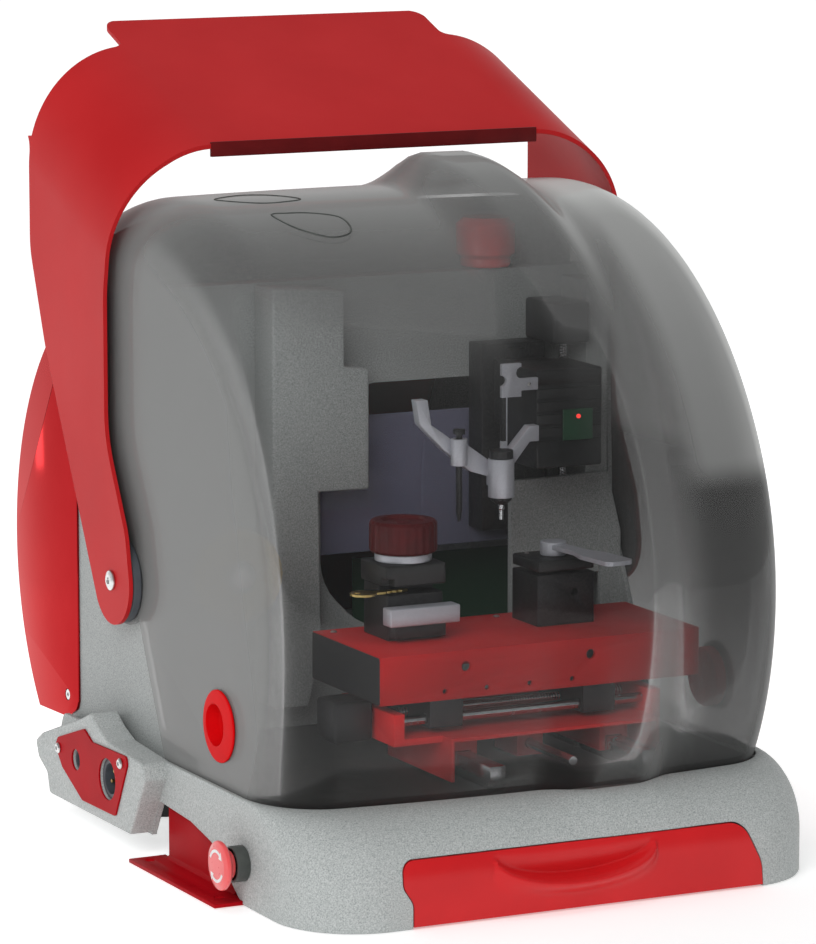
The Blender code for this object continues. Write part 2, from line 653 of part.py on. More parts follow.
def make_pivot(tag, side):
    """Spacer disc between hood and handle, and the pivot screw through both."""
    at = (PIVOT_Y, PIVOT_Z)
    drum, hood, arm_in, arm_out = DRUM_HALF + GAP, HOOD_HALF + 0.0004, ARM_IN - GAP, ARM_OUT + GAP
    disc = [(0.0048, drum), (0.0150, drum), (0.0150, hood), (0.0340, hood), (0.0360, 0.2285), (0.0360, 0.2345),
            (0.0340, arm_in), (0.0048, arm_in)]
    disc = [(radius, side * x) for radius, x in disc]
    node("pivot_disc_" + tag, turned(disc, "X", at, 24, ring=True), "dark_blue_grey", smooth=True)
    screw = [(0, 0.2140), (0.0045, 0.2140), (0.0045, arm_out), (0.0085, arm_out), (0.0078, 0.2420),
             (0.0050, 0.2432), (0.0026, 0.2434), (0.0026, 0.2415), (0, 0.2415)]
    screw = turned([(radius, side * x) for radius, x in screw], "X", at, 14)
    node("pivot_screw_" + tag, screw, "zinc", origin=(0, PIVOT_Y, PIVOT_Z), smooth=True)


def make_handle():
    """Bent sheet handle: two flat arms, wide bends, and an inclined strap with a turned-down front lip."""
    lean = (math.cos(STRAP_SLOPE), math.sin(STRAP_SLOPE))
    top = -STRAP_FRONT_Y * lean[1] + STRAP_FRONT_Z * lean[0]

    def profile(out, bend, height):
        points = [(-out, 0.05)]
        for a in range(0, 91, 15):
            turn = math.radians(a)
            points.append((-out + bend * (1 - math.cos(turn)), height - bend + bend * math.sin(turn)))
        return points + [(-x, w) for x, w in reversed(points)]

    skin = ARM_OUT - ARM_IN
    outside = profile(ARM_OUT, STRAP_BEND, top)
    inside = profile(ARM_IN, STRAP_BEND - skin, top - skin)
    band = outside + inside[::-1]
    rings = []
    for along in (-0.1, 0.6):
        rings.append([(x, along * lean[0] - w * lean[1], along * lean[1] + w * lean[0]) for x, w in band])
    handle = node("carry_handle", loft(rings), "handle_red", smooth=True)
    end = [(PIVOT_Y + 0.037 * math.cos(math.radians(a)), PIVOT_Z + 0.037 * math.sin(math.radians(a)))
           for a in range(-32, -189, -26)]
    tab_end = (0.287, 0.72)
    side_view = end + [(0.041, 0.265), (0.082, 0.340), (0.082, 0.460), (STRAP_FRONT_Y, 0.565),
                       (STRAP_FRONT_Y, 0.70), tab_end, (0.287, 0.600), (0.240, 0.570), (0.240, 0.480),
                       (0.209, 0.401)]
    keep(handle, prism(side_view, "X", -0.3, 0.3))
    for side in (-1, 1):
        near, far = sorted((side * TAB_HALF, side * 0.26))
        cut(handle, box((near, 0.241, 0.575), (far, 0.32, 0.72)))
        near, far = sorted((side * 0.22, side * 0.26))
        cut(handle, rod("X", (PIVOT_Y, PIVOT_Z), 0.0050, near, far, 12))
    fuse(handle, box((-TAB_HALF, STRAP_FRONT_Y - 0.0004, 0.5680), (TAB_HALF, STRAP_FRONT_Y + 0.0030, 0.5790)))
    set_origin(handle, (0, PIVOT_Y, PIVOT_Z))


# ---------------------------------------------------------------- inside
def make_bay_fittings():
    """Fixed pieces of the work bay: stepped pillar, guard sheet, lamp, brush drive and electronics."""
    steps = [(-0.106, 0.460), (-0.040, 0.455), (-0.040, 0.391), (-0.017, 0.388), (-0.017, 0.286),
             (-0.064, 0.287), (-0.062, 0.150), (-0.074, 0.105), (-0.106, 0.105)]
    pillar = node("left_pillar", prism(steps, "Y", 0.040, BULKHEAD_Y - GAP), "speckled_grey")
    cut(pillar, box((-0.100, 0.046, 0.112), (-0.078, 0.09, 0.450)))
    node("guard_sheet", box((-0.055, 0.0823, 0.225), (0.182, 0.0845, 0.342)), "guard_tint")
    lamp = [(0, 0.4400), (0.0055, 0.4400), (0.0055, 0.4615), (0.0220, 0.4615), (0.0220, 0.4690),
            (0.0260, 0.4730), (0.0260, 0.4980), (0.0200, 0.5040), (0, 0.5040)]
    node("status_lamp", turned(lamp, "Z", (LAMP_X, LAMP_Y), 18), "gloss_red", smooth=True)
    motor = rod("Y", (BRUSH_X, BRUSH_Z), 0.024, BULKHEAD_Y + WALL + GAP, 0.145, 16)
    node("brush_motor", motor, "dark_steel", smooth=True)
    supply = node("power_supply", box((-0.190, 0.100, 0.0850), (-0.030, 0.200, 0.1350)), "zinc")
    cut(supply, box((-0.192, 0.110, 0.1100), (-0.180, 0.190, 0.1300)))
    board = node("control_board", box((0.020, 0.150, 0.0860), (0.200, 0.1516, 0.2060)), "circuit_green")
    for low, high in (((0.050, 0.1510, 0.110), (0.080, 0.158, 0.140)),
                      ((0.110, 0.1510, 0.150), (0.150, 0.166, 0.170)),
                      ((0.120, 0.1510, 0.100), (0.134, 0.170, 0.130))):
        fuse(board, box(low, high))


def make_brush():
    """Deburring brush wheel on its own spindle, facing the front."""
    at = (BRUSH_X, BRUSH_Z)
    wheel = [(0.0135, -0.0060), (0.0330, -0.0060), (0.0390, -0.0040), (0.0390, 0.0040), (0.0330, 0.0060),
             (0.0135, 0.0060)]
    wheel = turned(wheel, "Y", at, 24, ring=True)
    node("brush_wheel", wheel, "brass", origin=(BRUSH_X, 0, BRUSH_Z), smooth=True)
    hub = [(0, -0.0095), (0.0090, -0.0095), (0.0132, -0.0070), (0.0132, 0.0070), (0.0065, 0.0070),
           (0.0065, 0.0820), (0, 0.0820)]
    node("brush_hub", turned(hub, "Y", at, 16), "steel", origin=(BRUSH_X, 0, BRUSH_Z), smooth=True)


def make_y_axis():
    """Two rails on the deck, the lower tray that runs on them, and its lead screw and motor."""
    for name, x in (("y_rail_left", RAIL_X[0]), ("y_rail_right", RAIL_X[1])):
        node(name, box((x - 0.007, -0.212, DECK_TOP + GAP), (x + 0.007, 0.020, 0.1000)), "steel")
    low = TRAY_TOP - 0.003
    tray = node("y_tray", box((TRAY_LEFT, -0.181, low), (TRAY_RIGHT, -0.065, TRAY_TOP)), "sheet_red")
    fuse(tray, box((TRAY_LEFT, -0.181, 0.0830), (TRAY_LEFT + 0.003, -0.065, TRAY_TOP)))
    fuse(tray, box((TRAY_RIGHT - 0.003, -0.181, 0.0830), (TRAY_RIGHT, -0.065, TRAY_TOP)))
    for x in RAIL_X:
        fuse(tray, box((x - 0.013, -0.150, 0.0880), (x + 0.013, -0.070, low + 0.001)))
        cut(tray, box((x - 0.0075, -0.160, 0.0870), (x + 0.0075, -0.060, 0.1005)))
    fuse(tray, box((0.034, -0.130, 0.0860), (0.058, -0.090, low + 0.001)))
    cut(tray, rod("Y", (Y_SCREW_X, 0.0960), 0.0046, -0.14, -0.08, 12))
    fuse(tray, box((-0.0955, -0.165, 0.1130), (TRAY_LEFT + 0.003, -0.068, TRAY_TOP)))
    fuse(tray, box((TRAY_RIGHT - 0.003, -0.165, 0.1130), (0.1480, -0.068, TRAY_TOP)))
    for left, right in ((-0.0955, -0.0860), (0.1385, 0.1480)):
        fuse(tray, box((left, -0.165, 0.1130), (right, -0.068, 0.1390)))
    cut(tray, rod("X", (-0.115, SCREW_Z), 0.0046, -0.11, -0.08, 12))
    for name, y in (("x_rod_front", -0.150), ("x_rod_rear", -0.080)):
        node(name, rod("X", (y, SCREW_Z), 0.004, -0.0857, 0.1382, 12), "steel", smooth=True)
    y_screw = rod("Y", (Y_SCREW_X, 0.0960), 0.004, -0.205, -0.0105, 12)
    node("y_screw", y_screw, "steel", origin=(Y_SCREW_X, 0, 0.0960), smooth=True)
    y_motor = box((Y_SCREW_X - 0.0155, -0.010, DECK_TOP + GAP), (Y_SCREW_X + 0.0155, 0.026, 0.1115))
    node("y_motor", y_motor, "dark_steel")
    node("x_motor", box((-0.1330, -0.1325, 0.1120), (-0.0980, -0.0975, 0.1460)), "dark_steel")
    x_screw = rod("X", (-0.115, SCREW_Z), 0.004, -0.0977, 0.1380, 12)
    node("x_screw", x_screw, "steel", origin=(0, -0.115, SCREW_Z), smooth=True)


def make_x_table():
    """Upper table on the cross rods: a folded red deck with a deep front apron and bearing blocks."""
    low = TABLE_TOP - 0.003
    deck = box((TABLE_LEFT, TABLE_FRONT, low), (TABLE_RIGHT, -0.040, TABLE_TOP))
    table = node("x_table", deck, "sheet_red")
    fuse(table, box((TABLE_LEFT, TABLE_FRONT, 0.1475), (TABLE_RIGHT, TABLE_FRONT + 0.003, TABLE_TOP)))
    fuse(table, box((TABLE_LEFT, -0.043, 0.1475), (TABLE_RIGHT, -0.040, TABLE_TOP)))
    fuse(table, box((TABLE_LEFT, TABLE_FRONT, 0.1475), (TABLE_LEFT + 0.003, -0.040, TABLE_TOP)))
    for left, right in ((-0.060, -0.030), (0.080, 0.110)):
        fuse(table, box((left, TABLE_FRONT + 0.001, 0.1232), (right, -0.0700, low + 0.001)))
    for y in (-0.150, -0.115, -0.080):
        cut(table, rod("X", (y, SCREW_Z), 0.0046, -0.12, 0.19, 12))
    for x in (-0.031, 0.083):
        cut(table, rod("Y", (x, 0.1735), 0.0042, -0.17, -0.1615, 10))
    for x in (-0.050, -0.012, 0.027, 0.066):
        cut(table, rod("Y", (x, 0.1545), 0.0022, -0.17, -0.1615, 10))


def make_left_vise():
    """Left clamp: body on the table, key stop, lifting upper jaw, and the knob that draws it down."""
    foot = TABLE_TOP + GAP
    left, right = VISE_X - 0.025, VISE_X + 0.025
    body = node("left_vise_body", box((left, -0.108, foot), (right, -0.063, 0.2310)), "dark_steel")
    cut(body, box((left - 0.005, -0.120, 0.2250), (right + 0.005, -0.0900, 0.24)))
    fuse(body, box((left + 0.002, -0.1180, 0.1900), (right - 0.002, -0.1070, 0.2010)))
    node("key_stop", box((VISE_X - 0.030, -0.1240, 0.2013), (VISE_X + 0.033, -0.1083, 0.2160)), "aluminium")
    origin = (VISE_X, CLAMP_Y, 0.2310)
    jaw = node("left_vise_jaw", box((VISE_X - 0.027, -0.110, 0.2315), (VISE_X + 0.027, -0.061, 0.2490)),
               "black_plastic", origin=origin)
    cut(jaw, box((VISE_X - 0.040, -0.115, 0.2310), (VISE_X - 0.0200, -0.100, 0.2380)))
    ring = rod("Z", (VISE_X, CLAMP_Y), 0.0235, 0.2493, 0.2560, 20)
    node("vise_ring", ring, "aluminium", origin=origin, smooth=True)
    knob = [(0, 0.2563), (0.0265, 0.2563), (0.0280, 0.2585), (0.0280, 0.2800), (0.0262, 0.2825),
            (0.0180, 0.2830), (0.0160, 0.2800), (0, 0.2800)]
    node("vise_knob", turned(knob, "Z", (VISE_X, CLAMP_Y), 24), "knob_red", origin=origin, smooth=True)


def make_key():
    """Key blank laid in the left clamp: a bow outside the jaw and a blade between the faces."""
    bow = circle((-0.0905, -0.0985), 0.0110, 14)
    key = node("key_blank", prism(bow, "Z", 0.2254, 0.2274), "brass")
    fuse(key, box((-0.0820, -0.1025, 0.2254), (-0.0500, -0.0945, 0.2274)))
    cut(key, rod("Z", (-0.0960, -0.0985), 0.0030, 0.22, 0.23, 8))


def make_right_clamp():
    """Right clamp: body, jaw, and the flat cam lever on top."""
    block = box((CLAMP_X - 0.0265, -0.108, TABLE_TOP + GAP), (CLAMP_X + 0.0265, -0.063, 0.2300))
    body = node("right_clamp_body", block, "dark_steel")
    cut(body, rod("Y", (CLAMP_X + 0.008, 0.214), 0.0032, -0.12, -0.10, 10))
    origin = (CLAMP_X, CLAMP_Y, 0.2320)
    jaw = box((CLAMP_X - 0.0260, -0.109, 0.2325), (CLAMP_X + 0.0260, -0.062, 0.2420))
    node("right_clamp_jaw", jaw, "black_plastic", origin=origin)
    boss = rod("Z", (CLAMP_X, CLAMP_Y), 0.0110, 0.2423, 0.2540, 16)
    lever = node("clamp_lever", boss, "aluminium", origin=origin)
    blade = [(0.000, 0.007), (0.040, 0.007), (0.058, 0.013), (0.094, 0.013), (0.099, 0.009), (0.099, -0.009),
             (0.094, -0.013), (0.058, -0.013), (0.040, -0.007), (0.000, -0.007)]
    turn = math.radians(LEVER_REST)
    swung = [(CLAMP_X + a * math.cos(turn) - b * math.sin(turn),
              CLAMP_Y + a * math.sin(turn) + b * math.cos(turn)) for a, b in blade]
    fuse(lever, prism(swung, "Z", 0.2480, 0.2520))


def make_z_axis():
    """Fixed column, its guide, motor and lead screw."""
    column = node("z_column", box((0.095, 0.0520, 0.2400), (0.155, BULKHEAD_Y - GAP, 0.4000)), "dark_steel")
    fuse(column, box((0.118, 0.0440, 0.2450), (0.132, 0.0530, 0.3960)))
    node("z_motor", box((0.1485, 0.0225, 0.4000), (0.1835, BULKHEAD_Y - GAP, 0.4350)), "dark_steel")
    node("z_screw", rod("Z", (Z_SCREW_X, Z_SCREW_Y), 0.004, 0.2450, 0.3995, 12), "steel",
         origin=(Z_SCREW_X, Z_SCREW_Y, 0), smooth=True)


def make_head():
    """Cutting head: slide block, motor, angled bracket, cutter spindle and spring tracer."""
    block = node("z_carriage", box((0.1020, 0.0170, 0.3350), (0.1480, 0.0437, 0.3880)), "dark_steel")
    fuse(block, box((0.1470, 0.0300, 0.3520), (0.1760, 0.0500, 0.3840)))
    cut(block, rod("Z", (Z_SCREW_X, Z_SCREW_Y), 0.0046, 0.34, 0.40, 12))
    node("spindle_motor", box((0.0960, -0.0450, 0.3070), (0.1580, 0.0167, 0.3900)), "black_plastic")
    arm = [(-0.0180, 0.373), (-0.0080, 0.373), (-0.0045, 0.352), (0.0160, 0.3375), (0.0300, 0.3325),
           (0.0530, 0.3160), (0.0690, 0.3255), (0.0870, 0.3450), (0.0955, 0.3450), (0.0955, 0.3320),
           (0.0870, 0.3320), (0.0720, 0.3140), (0.0690, 0.2920), (0.0560, 0.2940), (0.0530, 0.3040),
           (0.0315, 0.3110), (0.0065, 0.3310), (-0.0150, 0.3530)]
    bracket = node("head_bracket", prism(arm, "Y", -0.0500, -0.0400), "aluminium")
    fuse(bracket, box((0.0620, -0.0480, 0.3150), (0.0670, -0.0440, 0.3980)))
    fuse(bracket, box((0.0660, -0.0480, 0.3700), (0.0800, -0.0440, 0.3980)))
    fuse(bracket, box((0.0790, -0.0480, 0.3750), (0.0955, -0.0440, 0.3850)))
    cut(bracket, rod("Y", (0.0800, 0.3900), 0.0050, -0.05, -0.04, 10))
    cut(bracket, rod("Y", (0.0620, 0.3840), 0.0045, -0.05, -0.04, 10))
    housing = rod("Z", (TOOL_X, TOOL_Y), 0.0110, 0.2900, 0.3220, 18)
    holder = rod("Z", (TRACER_X, TRACER_Y), 0.0070, 0.3180, 0.3400, 14)
    web = box((TOOL_X - 0.006, TOOL_Y, 0.2980), (TOOL_X + 0.006, -0.0470, 0.3120))
    fuse(bracket, web, housing, holder)
    cut(bracket, rod("Z", (TOOL_X, TOOL_Y), 0.0082, 0.28, 0.35, 16))
    cut(bracket, rod("Z", (TRACER_X, TRACER_Y), 0.0031, 0.30, 0.36, 12))
    at = (TOOL_X, TOOL_Y)
    spindle = [(0, 0.2840), (0.0050, 0.2840), (0.0090, 0.2875), (0.0090, 0.2897), (0.0078, 0.2897),
               (0.0078, 0.3223), (0.0100, 0.3223), (0.0100, 0.3290), (0, 0.3290)]
    node("spindle", turned(spindle, "Z", at, 16), "steel", origin=(*at, 0.2840), smooth=True)
    cutter = [(0, 0.2710), (0.0020, 0.2710), (0.0020, 0.2790), (0.0028, 0.2800), (0.0028, 0.2837),
              (0, 0.2837)]
    node("cutter", turned(cutter, "Z", at, 12), "steel", origin=(*at, 0.2840), smooth=True)
    tracer = [(0, 0.2710), (0.0010, 0.2710), (0.0026, 0.2790), (0.0026, 0.3440), (0.0050, 0.3440),
              (0.0050, 0.3480), (0, 0.3480)]
    stylus = turned(tracer, "Z", (TRACER_X, TRACER_Y), 12)
    node("tracer", stylus, "steel", origin=(TRACER_X, TRACER_Y, 0.3200), smooth=True)


def main():
    clear_scene()
    make_finishes()
    make_base_housing()
    make_pod_fittings()
    make_foot_rail("foot_rail_left", -1)
    make_foot_rail("foot_rail_right", 1)
    make_rear_feet()
    make_estop()
    make_drawer()
    make_rear_body()
    make_rear_cover()
    make_pivot("left", -1)
    make_pivot("right", 1)
    make_hood()
    make_finger_cup("finger_cup_left", -1)
    make_finger_cup("finger_cup_right", 1)
    make_handle()
    make_bay_fittings()
    make_brush()
    make_y_axis()
    make_x_table()
    make_left_vise()
    make_key()
    make_right_clamp()
    make_z_axis()
    make_head()


main()
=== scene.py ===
"""Looks of the key duplicating machine: fine meshes, procedural materials, studio and camera, built round
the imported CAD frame. Metres, +Z up, front towards -Y."""

import math

import bmesh
import bpy
from mathutils import Matrix, Vector


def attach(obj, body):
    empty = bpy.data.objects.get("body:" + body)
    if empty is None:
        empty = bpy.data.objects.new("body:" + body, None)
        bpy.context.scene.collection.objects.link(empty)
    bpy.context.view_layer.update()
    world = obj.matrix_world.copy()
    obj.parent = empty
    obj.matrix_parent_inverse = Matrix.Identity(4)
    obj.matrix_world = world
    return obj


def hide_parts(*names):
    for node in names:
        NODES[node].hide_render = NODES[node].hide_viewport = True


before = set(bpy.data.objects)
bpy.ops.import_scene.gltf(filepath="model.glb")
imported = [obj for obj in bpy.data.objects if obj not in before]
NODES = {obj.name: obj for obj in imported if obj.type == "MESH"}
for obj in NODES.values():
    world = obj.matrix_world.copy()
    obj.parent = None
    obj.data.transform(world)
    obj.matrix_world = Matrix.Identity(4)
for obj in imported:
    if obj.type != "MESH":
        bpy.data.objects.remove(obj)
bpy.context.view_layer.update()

# ---------------- dimensions shared with the CAD
GAP = 0.0003
PIVOT, HOOD_EAR, ARM_END = (0.070, 0.222), 0.038, 0.037
HOOD_HALF, HOOD_SKIN, HOOD_Y, HOOD_Z = 0.2265, 0.003, 0.052, 0.218
HOOD_RADIUS, HOOD_CROWN, HOOD_EDGE = 0.3225, 0.35, 0.050
HOOD_BOTTOM, HOOD_REAR_Y = 0.0812, 0.160
TOP_DROP, TOP_CROWN, TOP_EDGE, TOP_CREST_SHIFT = 0.0015, 0.05, 0.055, 0.010
CREST_X, CREST_HALF, CREST_RISE, CREST_LOW_ANGLE, CREST_TOP_ANGLE = 0.055, 0.062, 0.0095, 28, 92
CUP, CUP_BORE, PIVOT_BORE = (-0.118, 0.134), 0.0252, 0.016
SKIRT_HALF, SKIRT_FRONT, SKIRT_REAR, SKIRT_CORNER = 0.2325, -0.300, 0.206, 0.070
SIDE_STATIONS, PLINTH_WALL = [0.14, 0.06, -0.02, -0.10], 0.0045
LEDGE_HALF, RIM_Z, DECK_TOP, DECK_BOTTOM, SHOULDER_Z = 0.2310, 0.0850, 0.0805, 0.0765, 0.036
DRUM, DRUM_RADIUS, DRUM_HALF = (0.0800, 0.222), 0.2390, 0.2205
COVER_RADIUS, COVER_HALF, COVER_FRONT_Y, COVER_SCREW = 0.2420, 0.2228, 0.1853, (0.209, 0.098)
ARM_OUT, ARM_IN = 0.2400, 0.2365
STRAP_SLOPE, STRAP_FRONT_Y, STRAP_FRONT_Z, STRAP_BEND = math.radians(21.0), 0.062, 0.580, 0.092
TAB_HALF, TAB_CORNER = 0.152, 0.014
DRAWER_LEFT, DRAWER_RIGHT, DRAWER_TOP, DRAWER_BACK, DRAWER_PLAY = -0.1535, 0.1685, 0.0540, -0.2860, 0.0009
PULL_X, PULL_HALF, PULL_OUT, PULL_LIP, SCOOP_IN = -0.002, 0.0725, 0.0112, 0.0022, 0.0065
POD_FACE = 0.2520
POD_OUTLINE = [(0.0085, 0.0205), (0.182, 0.020), (0.187, 0.037), (0.206, 0.047), (0.212, 0.061),
               (0.197, 0.070), (0.109, 0.0995), (0.0905, 0.107), (0.073, 0.097), (0.052, 0.0895),
               (-0.018, 0.0850), (-0.0225, 0.0720)]
PLATE_FACE, WELL_FLOOR, STOP_FACE = -0.2538, -0.2360, -0.2564
TABLE_TOP, TABLE_UNDER, X_SCREW = 0.18705, 0.1838, (-0.115, 0.130)
PLATE_OUTLINE = [(0.100, 0.092), (0.083, 0.084), (0.011, 0.086), (0.009, 0.079), (0.035, 0.031),
                 (0.105, 0.030), (0.148, 0.050), (0.163, 0.066), (0.157, 0.074)]
INLET, SOCKET, ESTOP = (0.051, 0.059), (0.118, 0.062), (-0.174, 0.035)
VISE, CLAMP = (-0.048, -0.0855), (0.0905, -0.0855)
KEY_Z, BOW = (0.2254, 0.2274), (-0.0905, -0.0985)
LAMP = (0.1200, 0.095)
BRUSH = (-0.157, 0.230)


# ---------------- mesh helpers
def place(axis, along, first, second):
    return {"X": (along, first, second), "Y": (first, along, second), "Z": (first, second, along)}[axis]


def polar(centre, radius, degrees):
    turn = math.radians(degrees)
    return (centre[0] + radius * math.cos(turn), centre[1] + radius * math.sin(turn))


def mirrored(outline, side):
    return [(side * a, b) for a, b in outline]


def hexagon(centre, radius):
    return [polar(centre, radius, angle) for angle in range(0, 360, 60)]


def loft(rings):
    """A closed body through rings with the same number of points."""
    bm = bmesh.new()
    rows = [[bm.verts.new(point) for point in ring] for ring in rings]
    count = len(rows[0])
    for low, high in zip(rows, rows[1:]):
        for i in range(count):
            j = (i + 1) % count
            bm.faces.new((low[i], low[j], high[j], high[i]))
    bm.faces.new(rows[0])
    bm.faces.new(rows[-1])
    bmesh.ops.recalc_face_normals(bm, faces=bm.faces)
    return bm


def prism(outline, axis, low, high):
    return loft([[place(axis, along, a, b) for a, b in outline] for along in sorted((low, high))])


def box(low, high):
    corners = [(low[0], low[1]), (high[0], low[1]), (high[0], high[1]), (low[0], high[1])]
    return prism(corners, "Z", low[2], high[2])


def turned(profile, axis, centre, steps, ring=False):
    """A profile of (radius, distance along the axis) spun about it. A ring's profile closes on itself."""
    bm = bmesh.new()
    rows = []
    for radius, along in profile:
        count = 1 if radius < 1e-6 else steps
        rows.append([bm.verts.new(place(axis, along, *polar(centre, radius, 360 * i / steps)))
                     for i in range(count)])
    pairs = list(zip(rows, rows[1:])) + ([(rows[-1], rows[0])] if ring else [])
    for low, high in pairs:
        for i in range(steps):
            j = (i + 1) % steps
            corners = [low[i % len(low)], low[j % len(low)], high[j % len(high)], high[i % len(high)]]
            bm.faces.new(list(dict.fromkeys(corners)))
    bmesh.ops.recalc_face_normals(bm, faces=bm.faces)
    return bm


def rod(axis, centre, radius, low, high, steps):
    low, high = sorted((low, high))
    return turned([(0, low), (radius, low), (radius, high), (0, high)], axis, centre, steps)


def rounded(points, radius, steps=6, corners=None):
    """The outline with its corners turned into arcs; corners picks some of them by number."""
    result = []
    count = len(points)
    for i, point in enumerate(points):
        here = Vector(point)
        before = Vector(points[i - 1]) - here
        after = Vector(points[(i + 1) % count]) - here
        if corners is not None and i not in corners:
            result.append(tuple(here))
            continue
        half = before.angle(after) / 2
        if half > 1.56 or before.length < 1e-6 or after.length < 1e-6:
            result.append(tuple(here))
            continue
        size = radius[i] if isinstance(radius, dict) else radius
        reach = min(size / math.tan(half), 0.49 * before.length, 0.49 * after.length)
        fitted = reach * math.tan(half)
        start = here + before.normalized() * reach
        end = here + after.normalized() * reach
        middle = here + (before.normalized() + after.normalized()).normalized() * fitted / math.sin(half)
        for k in range(steps + 1):
            arm = (start - middle).lerp(end - middle, k / steps).normalized() * fitted
            result.append(tuple(middle + arm))
    return result


def eased(profile, radius, steps=4):
    """A turned piece's profile with every corner but its two ends rounded."""
    return rounded(profile, radius, steps, corners=range(1, len(profile) - 1))


def smooth_step(t):
    t = min(max(t, 0.0), 1.0)
    return t * t * (3 - 2 * t)


def arc(centre, radius, first, last, steps):
    """Points on a circle in the Y-Z plane; the angle runs from the front, up and over to the rear."""
    return [polar(centre, radius, 180 - first - (last - first) * i / steps) for i in range(steps + 1)]


def swept(path, radius, sides):
    """A round bead along a path of points."""
    points = [Vector(p) for p in path]
    rings = []
    for i, point in enumerate(points):
        along = (points[min(i + 1, len(points) - 1)] - points[max(i - 1, 0)]).normalized()
        first = along.cross(Vector((0, 0, 1)))
        if first.length < 0.1:
            first = along.cross(Vector((0, 1, 0)))
        first.normalize()
        second = along.cross(first)
        turns = [2 * math.pi * k / sides for k in range(sides)]
        rings.append([point + (first * math.cos(a) + second * math.sin(a)) * radius for a in turns])
    return loft(rings)


def added(name, data):
    """A new object in the scene; a bmesh becomes its mesh."""
    if isinstance(data, bmesh.types.BMesh):
        bm, data = data, bpy.data.meshes.new(name)
        bm.to_mesh(data)
        bm.free()
    obj = bpy.data.objects.new(name, data)
    bpy.context.scene.collection.objects.link(obj)
    return obj


def make(name, bm, material, smooth=35.0):
    obj = added(name, bm)
    obj.data.materials.append(M[material])
    finish_shading(obj, smooth)
    return obj


def finish_shading(obj, smooth=35.0):
    obj.data.shade_smooth()
    obj.data.set_sharp_from_angle(angle=math.radians(smooth))


def combine(obj, bm, operation):
    operand = added("operand", bm)
    modifier = obj.modifiers.new("Shape", "BOOLEAN")
    modifier.operation = operation
    modifier.solver = "EXACT"
    modifier.object = operand
    graph = bpy.context.evaluated_depsgraph_get()
    result = bpy.data.meshes.new_from_object(obj.evaluated_get(graph))
    obj.modifiers.clear()
    old = obj.data
    obj.data = result
    bpy.data.meshes.remove(old)
    bpy.data.objects.remove(operand, do_unlink=True)
    finish_shading(obj)


def cut(obj, *shapes):
    for bm in shapes:
        combine(obj, bm, "DIFFERENCE")


def fuse(obj, *shapes):
    for bm in shapes:
        combine(obj, bm, "UNION")


def keep(obj, bm):
    combine(obj, bm, "INTERSECT")


def round_off(bm, edges, width, segments=3, clamp=False):
    bmesh.ops.bevel(bm, geom=edges, offset=width, segments=segments, profile=0.5, affect="EDGES",
                    clamp_overlap=clamp)


def bevel(obj, width, segments=3):
    """Rounds the sharp edges in the mesh itself."""
    bm = bmesh.new()
    bm.from_mesh(obj.data)
    bmesh.ops.remove_doubles(bm, verts=bm.verts, dist=1e-6)
    bmesh.ops.dissolve_limit(bm, angle_limit=math.radians(1.0), verts=bm.verts, edges=bm.edges)
    sharp = [e for e in bm.edges if len(e.link_faces) == 2 and e.calc_face_angle() > math.radians(40.0)]
    round_off(bm, sharp, width, segments, clamp=True)
    bm.to_mesh(obj.data)
    bm.free()
    finish_shading(obj, 30.0)


def own(obj, body, slot, *nodes):
    """The piece rides on the body and stands for the nodes; the slot is not used."""
    if nodes:
        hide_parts(*nodes)
    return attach(obj, body)


def piece(name, bm, material, body, slot, *nodes, smooth=35.0):
    return own(make(name, bm, material, smooth), body, slot, *nodes)


def refined(node, body, slot, material, width=0.0008, segments=2):
    """A copy of a CAD node with its sharp edges rounded."""
    obj = added("fine_" + node, NODES[node].data.copy())
    obj.data.materials.clear()
    obj.data.materials.append(M[material])
    bevel(obj, width, segments)
    return own(obj, body, slot, node)


# ---------------- materials
class Graph:
    """Short ways to add and join nodes in a tree."""

    def __init__(self, tree):
        self.tree = tree

    def add(self, kind, inputs=(), **settings):
        node = self.tree.nodes.new(kind)
        for key, value in settings.items():
            setattr(node, key, value)
        for key, value in dict(inputs).items():
            self.put(node.inputs[key], value)
        return node

    def put(self, socket, value):
        if isinstance(value, bpy.types.NodeSocket):
            self.tree.links.new(value, socket)
        elif isinstance(value, tuple) and socket.type == "RGBA":
            socket.default_value = (*value, 1.0)
        else:
            socket.default_value = value

    def level(self, source, low, high):
        settings = {"Value": source, "To Min": low, "To Max": high}
        return self.add("ShaderNodeMapRange", settings).outputs["Result"]

    def ranged(self, source, first, last, low, high):
        """A soft step from low to high while the source goes from first to last."""
        settings = {"Value": source, "From Min": first, "From Max": last, "To Min": low, "To Max": high}
        return self.add("ShaderNodeMapRange", settings, interpolation_type="SMOOTHSTEP").outputs["Result"]

    def maths(self, operation, *values):
        return self.add("ShaderNodeMath", enumerate(values), operation=operation).outputs["Value"]

    def axes(self, source):
        """The X, Y and Z of a position."""
        return tuple(self.add("ShaderNodeSeparateXYZ", {"Vector": source}).outputs)


